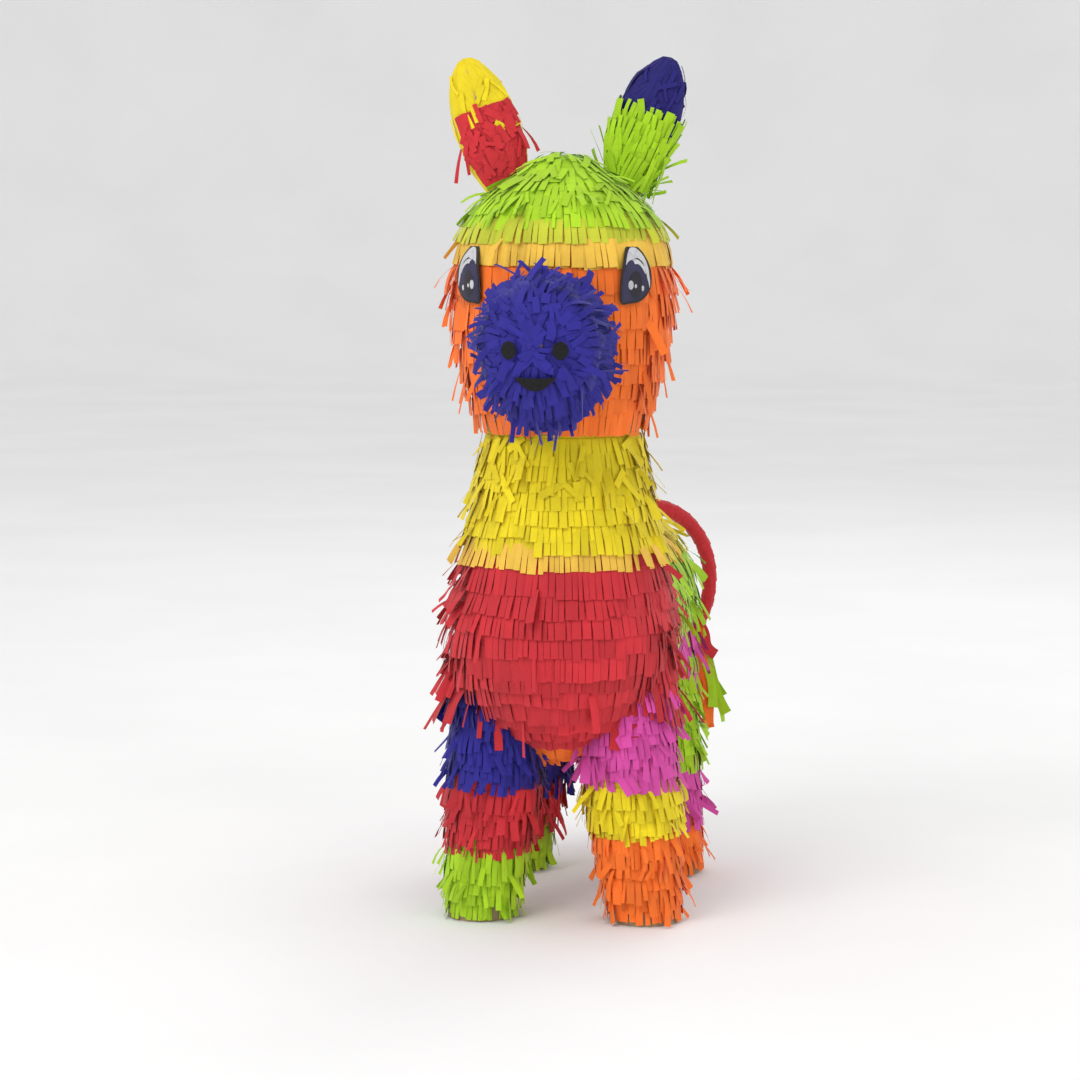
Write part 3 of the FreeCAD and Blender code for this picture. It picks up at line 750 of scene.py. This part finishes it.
def make_flanks():
    at = trunk_map(FLANKS)
    span = (0.010, TRUNK_LENGTH - 0.010)
    bands = (
        ("flank", "pink", 150, 196, 0.10),
        ("flank", "lime", 92, 130, 0.10),
        ("flank", "yellow", 52, 72, 0.06),
        ("back", "orange", 3, 32, 0.04),
    )
    for i, (part, colour, first, last, wild) in enumerate(bands):
        sheets = Sheets()
        rows(sheets, at, first, last, 10.5, seeded(20 + i), places=span, length=19, spread=5, wild=wild,
             keep=flank_keep)
        if part == "back":
            lay_header(sheets, at, 0.0425, span, 0.5, 8.5, 1.2, seeded(30), 0, beside_hinge)
        sheets.paper(f"{part}_{colour}_rows", colour, f"{part}_fringe_{colour}")

    flap = Sheets()
    left, right = (0.004, TRUNK_LENGTH / 2), (TRUNK_LENGTH / 2, TRUNK_LENGTH - 0.004)
    for places, last, length in ((left, 25, 21), (right, 9, 15)):
        rows(flap, at, 1, last, 8.0, seeded(31 + length), places, length=length, keep=on_flap, header=8)
    flap.paper("flap_fringe", "orange", "flap_fringe_orange", body="flap")


def beside_hinge(points):
    return (points[:, 0] < 0) & between(points[:, 1], FLAP_LOW[1], FLAP_HIGH[1])


def on_flap(points):
    x, y, _ = points.T
    inside = between(x, FLAP_LOW[0] + 0.0035, FLAP_HIGH[0] - 0.0005)
    return inside & between(y, FLAP_LOW[1] + 0.0006, FLAP_HIGH[1] - 0.0006)


def outside_body(points):
    """False inside the barrel and its bulging ends."""
    x, y, z = points.T
    along = np.where(y < CHEST_Y, (y - CHEST_Y) / CHEST_DEPTH, np.maximum(y - RUMP_Y, 0) / RUMP_DEPTH)
    return np.hypot(x, z - BARREL_Z) > BARREL_R * np.sqrt(np.clip(1 - along ** 2, 0, 1)) - 0.001


def make_legs():
    for number, name in enumerate(LEG_NAMES):
        foot = leg_centre(name)

        def centre_x(z, sign=np.sign(foot[0])):
            return sign * np.interp(z, LEG_Z, LEG_X)

        at = turned_map(LEGS[name], centre_x, foot[1], reach=0.15)
        for node in sorted((n for n in NODES if n.startswith(f"leg_{name}_")), key=lambda n: box(n)[0][2]):
            low, high = (corner[2] / MM for corner in box(node))
            first, last = low + 12, min(high, 188) - 1
            colour = node.rsplit("_", 1)[1]
            sheets = Sheets()
            rng = seeded(40 + number * 4 + len(colour))
            count = max(int(round((last - first) / 8.5)), 1)
            for i in range(count + 1):
                z = first + (last - first) * i / count
                fringe(sheets, at, -z * MM, FULL_TURN, rng, length=min(16.0, z - 0.6), width=4.6, lift=9,
                       spread=7, curl=12, wild=0.20, wild_lift=30, yaw=5, ragged=1.5, keep=outside_body,
                       header=11)
            sheets.paper(f"leg_{name}_{colour}_fringe", colour, node)


# ---- muzzle ----

def make_muzzle():
    at, bend = muzzle_map(MUZZLE)
    sheets = Sheets()
    rng = seeded(60)
    back = (box("muzzle_tube")[1][1] - RIM_Y) / MM - 12
    face = bend * 0.62  # where the spiky sides give way to the smooth face

    def clear(p):
        return (p[:, 1] < RIM_Y + back * MM) & (cheek_gap(p) > 0.006)

    def sides(p):
        return 0.55 * np.clip(np.abs(p[:, 0]) / MUZZLE_R, 0, 1) ** 2

    station = bend + back
    while station > face:
        outer = (station - face) / (bend * 0.38 + back)
        fringe(sheets, at, station * MM, AROUND, rng, length=19, width=4.4, lift=16 + 26 * min(outer * 2, 1),
               spread=12, curl=10, wild=0.28, wild_lift=56, yaw=9, ragged=1.6, fall=0.15, keep=clear,
               press=sides, header=9)
        station -= 7.0
    while station > 5:
        fringe(sheets, at, station * MM, AROUND, rng, length=16, width=5.4, lift=5, wild=0.06, wild_lift=14,
               yaw=14, fall=0.05, header=7, press=sides)
        station -= 7.0
    flakes(sheets, at, (3, bend * 0.7), AROUND, 70, rng, width=5.4, height=2.6, toward=0.0, light=0.12,
           keep=off_face)
    flakes(sheets, at, (1, 9), AROUND, 16, rng, length=11, width=5.4, height=2.4, light=0.05, keep=off_face)
    sheets.paper("muzzle_fringe", "blue", "muzzle_fringe_blue")


def off_face(points):
    """Leaves the nostrils and the mouth clear of loose strips."""
    x, _, z = points.T
    keep = np.ones(len(points), bool)
    for node in ("nostril_left", "nostril_right", "mouth"):
        low, high = box(node)
        keep &= ~(between(x, low[0] - 0.005, high[0] + 0.005) & between(z, low[2] - 0.006, high[2] + 0.006))
    return keep


def cheek_gap(points):
    """How far points stand ahead of the head, seen along Y."""
    radius = np.interp(points[:, 2] - JAW_Z, [0, 0.055, 0.097, 0.135], [0.058, 0.076, HEAD_R, 0.081])
    return np.hypot(points[:, 0], points[:, 1] - HEAD_Y) - radius


# ---- ears ----

FOLDS = 0.9  # mm, height of the folds in the ears' wraps
EAR_TIP = 114.2  # mm from the root, last ring of a wrap

def ear_map(side, upward=True):
    """Rings round an ear: station is the distance from its root, or minus it, place an angle from its edge."""
    sign, way = dict(SIDES)[side], 1 if upward else -1
    mirror = np.array([sign, 1, 1])
    x_axis, y_axis, z_axis = (axis * mirror for axis in np.array(EAR_TURN.transposed()))

    def aim(station, angle):
        foot = EAR_ROOT * mirror + z_axis * np.clip(way * station, 0, EAR_LENGTH * 0.985)[..., None]
        ray = x_axis * np.cos(angle)[..., None] + y_axis * np.sin(angle)[..., None] * EAR_FLATNESS
        return foot, unit(ray)
    return ray_map(EARS[side], aim, 0.12, -sign * way)


def wrap(sheets, at, first, last, angles, offset, rng, steps=(26, 64)):
    """A thin closed shell of crepe drawn tight over a surface, with folds running along it and painted shade
    in their troughs.
    """
    station = np.linspace(first, last, steps[0])[:, None] * MM
    angle = np.linspace(angles[0], angles[1], steps[1])[None, :]
    whole = angles[1] - angles[0] > 6.28
    base = at(station, angle)
    rows_count = len(base)
    for order, step in ((range(rows_count - 2, -1, -1), 1), (range(1, rows_count), -1)):
        hole = np.isnan(base).any(axis=2)  # rays that missed take the point of the row beside them
        for row in order:
            base[row][hole[row]] = base[row + step][hole[row]]
    across = unit(np.gradient(base, axis=1))
    out = unit(np.cross(unit(np.gradient(base, axis=0)), across)) * at.sign
    height = np.zeros(base.shape[:2])
    for k in (5, 9, 14, 23):
        phase, drift = rng.uniform(0, 2 * math.pi), rng.normal(0, 22)
        fold = np.sin(k * angle + phase + drift * (station - first * MM))
        height += fold * FOLDS / math.sqrt(k) * rng.uniform(0.5, 1)
    height += FOLDS * 0.25 * rng.normal(size=height.shape)
    if whole:
        height[:, -1] = height[:, 0]
    outer = base + out * (offset + height)[..., None] * MM
    inner = base + out * (offset + height - 0.35)[..., None] * MM
    n, m = outer.shape[:2]
    grid = np.arange(n * m).reshape(n, m)
    deep = grid + n * m
    faces = [quads(grid[:-1, :-1], grid[:-1, 1:], grid[1:, 1:], grid[1:, :-1]),
             quads(deep[1:, :-1], deep[1:, 1:], deep[:-1, 1:], deep[:-1, :-1])]
    rims = [(grid[0], 1)] if whole else [(grid[0], 1), (grid[-1], -1), (grid[:, 0], -1), (grid[:, -1], 1)]
    for rim, way in rims:
        faces.append(quads(rim[:-1], rim[:-1] + n * m, rim[1:] + n * m, rim[1:])[:, ::way])
    # Painted shade: lighter on the folds' crests and darker in their troughs, with a little random tone.
    painted_fold_shade = 0.5 + 0.16 * height / FOLDS + 0.05 * rng.normal(size=height.shape)
    verts = [outer.reshape(-1, 3), inner.reshape(-1, 3)]
    tones = [painted_fold_shade.ravel(), painted_fold_shade.ravel()]
    if whole:  # a closed tip
        crest = outer[-1].mean(axis=0)
        rise = unit(crest - outer[-4].mean(axis=0))
        verts.append(np.stack([crest + rise * 2.0 * MM, crest + rise * 1.6 * MM]))
        tones.append([0.5, 0.5])
        hub = 2 * n * m
        faces.append(quads(grid[-1, :-1], grid[-1, 1:], hub, hub))
        faces.append(quads(deep[-1, 1:], deep[-1, :-1], hub + 1, hub + 1))
    sheets.add(np.concatenate(verts), np.concatenate(faces), np.concatenate(tones))


def make_ears():
    rng = seeded(70)
    left = ear_map("left")
    tip = Sheets()
    wrap(tip, left, 44, EAR_TIP, AROUND, 0.9, rng)
    flakes(tip, left, (62, 104), AROUND, 26, rng, length=16, width=3.4, toward=0.0, light=0.25)
    tip.paper("ear_tip_wrap", "navy", "ear_tip_left_blue")
    base = Sheets()
    for station in (57, 49, 41, 33, 25, 17, 10):
        fringe(base, left, station * MM, AROUND, rng, length=19, width=4.0, lift=8, spread=6, curl=9,
               wild=0.16, wild_lift=24, yaw=7, ragged=2.2, fall=0.02, header=11)
    stray = dict(width=3.4, wild=0.3, yaw=10, header=0)
    for station in (44, 34, 24):
        fringe(base, ear_map("left", upward=False), -station * MM, (-0.9, 0.6), rng, length=24, lift=16,
               spread=10, curl=14, wild_lift=30, fall=0.5, keep=lambda p: rng.random(len(p)) < 0.6, **stray)
    base.paper("ear_base_fringe", "lime", "ear_base_left_lime")

    right = ear_map("right")
    yellow = Sheets()
    wrap(yellow, right, 8, EAR_TIP, AROUND, 0.9, rng)
    flakes(yellow, right, (50, 104), AROUND, 22, rng, length=16, width=3.4, toward=0.0, light=0.15)
    yellow.paper("ear_wrap_yellow", "yellow", "ear_wrap_right_yellow")
    red = Sheets()
    wrap(red, right, 8, 74, (-2.95, -0.55), 2.0, rng, steps=(30, 40))
    for places in ((-3.3, -2.6), (-0.7, -0.2)):
        fringe(red, ear_map("right", upward=False), -0.050, places, rng, length=18, lift=12, spread=8,
               wild_lift=26, height=2.2, keep=lambda p: rng.random(len(p)) < 0.7, **stray)
    flakes(red, right, (22, 70), (-2.85, -0.65), 46, rng, length=14, height=3.0, toward=0.1, light=0.05)
    red.paper("ear_panel_red", "red", "ear_panel_right_red")


# ---- eyes, nostrils and mouth ----

def smooth_outline(points, count=64):
    """A smooth closed curve through given corners (Catmull-Rom)."""
    points = np.array(points, float)
    n = len(points)
    t = np.linspace(0, n, count, endpoint=False)
    i = t.astype(int)
    f = (t - i)[:, None]
    p0, p1, p2, p3 = (points[(i + k) % n] for k in (-1, 0, 1, 2))
    return 0.5 * (2 * p1 + (p2 - p0) * f + (2 * p0 - 5 * p1 + 4 * p2 - p3) * f ** 2
                  + (3 * p1 - p0 - 3 * p2 + p3) * f ** 3)


def sticker(sheets, outline, lay, low, high, slot, centre=None, steps=7):
    """A flat shape from low to high above a surface, of which lay(u, v, height) gives the places."""
    outline = np.array(outline, float)
    centre = outline.mean(axis=0) if centre is None else np.array(centre, float)
    scale = np.linspace(1, 0, steps)[:-1]
    uv = centre + (outline - centre) * scale[:, None, None]
    n, m = uv.shape[:2]
    top = lay(uv[..., 0], uv[..., 1], high).reshape(-1, 3)
    middle = lay(centre[:1], centre[1:], high).reshape(-1, 3)
    edge = lay(uv[0, :, 0], uv[0, :, 1], low).reshape(-1, 3)
    under = lay(centre[:1], centre[1:], low).reshape(-1, 3)
    grid = np.arange(n * m).reshape(n, m)
    sides, after = rings(grid)
    hub, rim, foot = n * m, n * m + 1 + np.arange(m), n * m + 1 + m
    next_rim = np.roll(rim, -1)
    faces = [sides, quads(grid[-1], after[-1], hub, hub), quads(rim, next_rim, after[0], grid[0]),
             quads(next_rim, rim, foot, foot)]
    sheets.add(np.concatenate([top, middle, edge, under]), np.concatenate(faces), 0.5, slot)


# Outlines in mm from the eye's centre: u away from the nose, v up
EYE = ((-15.7, -22.3), (-15.9, -8), (-14.4, 2.5), (-12, 9.8), (-9, 15.4), (-4.9, 20.3), (0, 22.3), (5, 20.8),
       (9.4, 16.8), (12.5, 10.3), (14.8, 3.4), (16.1, -4.6), (15.3, -10.6), (12.3, -15), (7, -19.4),
       (0.4, -22), (-7.8, -22.7))
WHITE = ((-10.6, 6.4), (-7.7, 13), (-2.8, 18.1), (2, 19), (5.8, 17.3), (9, 13), (11.3, 6.3), (13, -2.3),
         (14, -8), (13.3, -11.2), (12.2, -6), (10.8, 0.6), (8, 5.9), (4.2, 10), (-0.4, 12), (-5, 11),
         (-8.6, 8.8))
IRIS = ((-4, 10), (-0.4, 10.7), (3.6, 8.9), (7, 4.8), (9.5, 0), (10.7, -6), (10.6, -11.5), (6.6, -17),
        (0, -20), (-8, -20.7), (-14.2, -20.6), (-14.4, -8), (-13.2, 0), (-10.8, 5.6), (-8, 8.6))
GLINT = ((-2.8, 9.4), (-0.4, 10.2), (2.6, 9.4), (5.6, 6.6), (7.8, 2.8), (8.6, -1), (6.6, 1.3), (4.1, 4.6),
         (1.1, 6.6), (-1.9, 6.8))


def oval(u, v, half_u, half_v, count=28):
    turn = np.linspace(0, 2 * math.pi, count, endpoint=False)
    return np.stack([u + half_u * np.cos(turn), v + half_v * np.sin(turn)], axis=-1)


def make_eyes():
    for side, sign in SIDES:
        low, high = box(f"eye_{side}")
        middle = (low + high) / 2
        bearing = math.atan2(middle[0], HEAD_Y - middle[1])
        radius = math.hypot(middle[0], middle[1] - HEAD_Y)

        def lay(u, v, height, bearing=bearing, sign=sign, middle_z=middle[2], radius=radius):
            angle = bearing + sign * u * MM / radius * 0.96
            brow = 0.0000192 * np.maximum(v, 0) ** 2  # the head draws in above the eye's middle
            reach = radius - brow + (height - 0.4) * MM
            return vec(np.sin(angle) * reach, HEAD_Y - np.cos(angle) * reach, middle_z + v * MM)

        eye = Sheets()
        sticker(eye, smooth_outline(EYE), lay, -0.3, 0.4, 0, centre=(0, -4))
        sticker(eye, smooth_outline(WHITE, 80), lay, 0.3, 0.62, 1, centre=(4.5, 12.5), steps=3)
        sticker(eye, smooth_outline(IRIS), lay, 0.3, 0.60, 2, centre=(-2, -6))
        sticker(eye, oval(-1.8, -8.5, 6.4, 10.2), lay, 0.5, 0.72, 3)
        sticker(eye, smooth_outline(GLINT), lay, 0.5, 0.86, 1, centre=(3.4, 7.2))
        for spot in ((-6.7, -8.9, 2.4, 3.4), (-1.9, -9.8, 1.05, 1.5), (5.4, -11.6, 1.3, 2.1)):
            sticker(eye, oval(*spot), lay, 0.6, 0.95, 1)
        eye.build(f"eye_card_{side}", [EYE_BLACK, EYE_WHITE, EYE_NAVY, EYE_DARK], "carcass", f"eye_{side}")


def make_nose():
    def lay(u, v, height):
        away = np.hypot(u, v) * MM / (MUZZLE_R + 0.003)
        depth = (RIM_Y - MUZZLE_TIP + 0.0042) * np.sqrt(np.clip(1 - away ** 2, 0.02, 1))
        return vec(u * MM, RIM_Y - depth - height * MM, MUZZLE_Z + v * MM)

    def felt(name, node, outline, **where):
        patch = Sheets()
        sticker(patch, outline, lay, -0.8, 1.7, 0, **where)
        patch.build(name, [FELT], "carcass", node)

    for side, _ in SIDES:
        low, high = box(f"nostril_{side}")
        middle = (low + high) / 2
        felt(f"nostril_felt_{side}", f"nostril_{side}",
             oval(middle[0] / MM, (middle[2] - MUZZLE_Z) / MM, 5.6, 6.6, 40))
    low, high = box("mouth")
    left, right = low[0] / MM, high[0] / MM
    top, foot = (high[2] - MUZZLE_Z) / MM, (low[2] - MUZZLE_Z) / MM
    across = np.linspace(-1, 1, 17)
    under = [(left + (right - left) * (x + 1) / 2, top + (foot - top) * (1 - x * x)) for x in across]
    over = [(left + (right - left) * (1 - x) / 2, top - 1.0 * (1 - x * x) + 0.6) for x in across[1:-1]]
    felt("mouth_felt", "mouth", under + over, centre=(0, top * 0.45 + foot * 0.55), steps=5)


# ---- tail ----

def arc_points(a, b, c, count):
    """Points along the circle through three points."""
    a, b, c = (np.array(p, float) for p in (a, b, c))
    u, v = b - a, c - a
    w = np.cross(u, v)
    centre = a + (np.dot(v, v) * np.cross(w, u) + np.dot(u, u) * np.cross(v, w)) / (2 * np.dot(w, w))
    x = unit(a - centre)
    y = unit(np.cross(unit(w), x))
    end = math.atan2(np.dot(c - centre, y), np.dot(c - centre, x)) % (2 * math.pi)
    turn = np.linspace(0, end, count)[:, None]
    return centre + np.linalg.norm(a - centre) * (x * np.cos(turn) + y * np.sin(turn))


TAIL_START = (0.004, RUMP_Y + 0.0289, BARREL_Z + 0.0552)
TAIL_TOP = (0.0434, RUMP_Y + 0.0607, BARREL_Z + 0.0689)
TAIL_END = np.array([0.079, RUMP_Y + 0.094, BARREL_Z - 0.036])
WRAP_PITCH = 0.0105  # of the crepe wound round the stalk
STREAMERS = {  # where each ribbon's tip hangs, in mm from the end of the stalk
    "red": [(15, 1, -27), (6, 0, -34), (-2, -4, -30), (3, 5, -22)],
    "orange": [(7, 2, -92), (2, -4, -70), (13, -5, -86), (8, 6, -78)],
    "lime": [(26, 2, -78), (21, 3, -86), (16, -4, -72), (19, 7, -64)],
}


def make_tail():
    make_stalk()
    for i, (colour, tips) in enumerate(STREAMERS.items()):
        rng = seeded(81 + i)
        sheets = Sheets()
        for tip in tips:
            streamer(sheets, np.array(tip) * MM, rng)
        sheets.paper(f"tail_streamers_{colour}", colour, f"tail_tassel_{colour}")


def make_stalk(count=220, around=28):
    """A round stalk along an arc, with one strip of crepe wound down it in overlapping turns, and painted
    shade just under each turn's edge.
    """
    line = arc_points(TAIL_START, TAIL_TOP, TAIL_END, count)
    tangent = unit(np.gradient(line, axis=0))
    side = unit(np.cross(tangent, [0.3, -0.9, 0.2]))
    other = np.cross(tangent, side)
    run = np.concatenate([[0], np.cumsum(np.linalg.norm(np.diff(line, axis=0), axis=1))])[:, None]
    rng = seeded(80)
    turn = np.linspace(0, 2 * math.pi, around + 1)[None, :]
    step = (run / WRAP_PITCH - turn / (2 * math.pi)) % 1.0
    crease = 0.00022 * np.sin(7 * turn + run * 240) + 0.00014 * rng.normal(size=(count, around + 1))
    crease[:, -1] = crease[:, 0]
    size = 0.0068 - 0.0016 * run / run[-1] + 0.0007 * step + crease
    shell = line[:, None] + size[..., None] * (side[:, None] * np.cos(turn)[..., None]
                                               + other[:, None] * np.sin(turn)[..., None])
    grid = np.arange(count * around).reshape(count, around)
    faces, after = rings(grid)
    first, last = count * around, count * around + 1
    caps = [quads(after[0], grid[0], first, first), quads(grid[-1], after[-1], last, last)]
    # Painted shade: each turn is darkest just under the edge of the turn that overlaps it and lightest at its
    # own edge.
    shade = np.clip(0.45 + 0.12 * (step[:, :-1] - 0.5) + 0.08 * rng.normal(size=(count, around)), 0, 1)
    verts = np.concatenate([shell[:, :-1].reshape(-1, 3), line[:1], line[-1:]])
    stalk = Sheets()
    stalk.add(verts, np.concatenate([faces, *caps]), np.concatenate([shade.ravel(), [0.5, 0.5]]))
    stalk.paper("tail_stalk", "red", "tail_core", smooth=True)


def streamer(sheets, tip, rng):
    """One ribbon that hangs from the end of the stalk, swaying and turning on its way down."""
    t = np.linspace(0, 1, 22)
    sway = rng.uniform(0.002, 0.004) * np.sin(t * rng.uniform(5, 8) + rng.uniform(0, 6)) * t
    path = TAIL_END + vec(tip[0] * t ** 1.3 + sway, tip[1] * t + sway * 0.8, tip[2] * t ** 0.92)
    path[:, 2] += 0.006 * (1 - t)
    along = unit(np.gradient(path, axis=0))
    spin = rng.uniform(-0.5, 0.5) + rng.uniform(-1.2, 1.2) * t
    out = unit(vec(np.sin(spin), -np.cos(spin), 0.0))
    out = unit(out - along * np.einsum("kc,kc->k", out, along)[:, None])
    half = rng.uniform(0.0042, 0.0050) * np.interp(t, [0, 0.15, 1], [0.55, 0.9, 1.0])
    cup = 0.0006 * np.sin(t * 9 + rng.uniform(0, 6))
    ribbon(sheets, path[None], np.cross(along, out)[None], out[None], half[None], cup[None],
           np.array([rng.uniform(0.35, 0.65)]), thick=0.25 * MM)


# ---- card and wire, and the stage ----

def finish_cad_nodes():
    """Card and wire get their materials; their shapes stay as they are."""
    bare = (*BODY, *LEG_TUBES, "neck_tube", "head_shell", "muzzle_tube", "muzzle_cap", "ear_core",
            "foot_disc", "hanger")
    for name, node in NODES.items():
        if name.startswith(bare):
            for item in node.material_slots:
                item.material = STEEL if name == "hanger_loop" else CARTON


def look_at(item, place, target):
    item.location = place
    item.rotation_euler = (target - Vector(place)).to_track_quat("-Z", "Y").to_euler()


CAMERA_BEARING, CAMERA_RISE, CAMERA_DISTANCE = math.radians(8.0), math.radians(6.4), 2.6
CAMERA_TARGET = Vector((-0.028, CHEST_Y + 0.070, 0.2902))
LAMP_TARGET = Vector((0, 0, 0.32))
LAMPS = (  # name, place, size, power
    ("key", (-1.1, -2.2, 2.2), 1.6, 34.0),
    ("fill", (1.9, -1.8, 1.1), 1.8, 8.0),
    ("back", (0.6, 2.0, 2.2), 1.6, 12.0),
)


def make_stage():
    """A round floor that curves up into a wall, a white world, three lamps and the photograph's camera."""
    bend = np.linspace(0, math.pi / 2, 17)
    profile = [(0.5, 0.0), (3.0, 0.0), *zip(6.5 + 1.5 * np.sin(bend), 1.5 - 1.5 * np.cos(bend)), (8.0, 2.6)]
    around = 96
    turn = np.linspace(0, 2 * math.pi, around, endpoint=False)
    verts = [(r * math.cos(a), r * math.sin(a), z) for r, z in profile for a in turn]
    grid = np.arange(len(verts)).reshape(-1, around)
    after = np.roll(grid, -1, axis=1)
    faces = [tuple(range(around)), *quads(grid[:-1], grid[1:], after[1:], after[:-1]).tolist()]
    mesh = bpy.data.meshes.new("floor")
    mesh.from_pydata(verts, [], faces)
    mesh.polygons.foreach_set("use_smooth", np.ones(len(faces), bool))
    mesh.materials.append(FLOOR)
    link("floor", mesh)

    world = bpy.data.worlds.new("studio")
    bpy.context.scene.world = world
    world.use_nodes = True
    settings(world.node_tree.nodes["Background"], Color=(1.0, 1.0, 1.0, 1.0), Strength=0.80)

    for name, place, size, power in LAMPS:
        lamp = bpy.data.lights.new(name, "AREA")
        lamp.size, lamp.energy = size, power
        look_at(link(name, lamp), place, LAMP_TARGET)

    flat = math.cos(CAMERA_RISE)
    away = Vector((math.sin(CAMERA_BEARING) * flat, -math.cos(CAMERA_BEARING) * flat, math.sin(CAMERA_RISE)))
    lens = bpy.data.cameras.new("camera")
    lens.lens, lens.sensor_width = 108.33, 36.0
    camera = link("camera", lens)
    look_at(camera, CAMERA_TARGET + away * CAMERA_DISTANCE, CAMERA_TARGET)
    bpy.context.scene.camera = camera
    bpy.context.scene.view_settings.view_transform = "Standard"


make_head()
make_neck()
make_chest()
make_flanks()
make_legs()
make_muzzle()
make_ears()
make_eyes()
make_nose()
make_tail()
finish_cad_nodes()
make_stage()
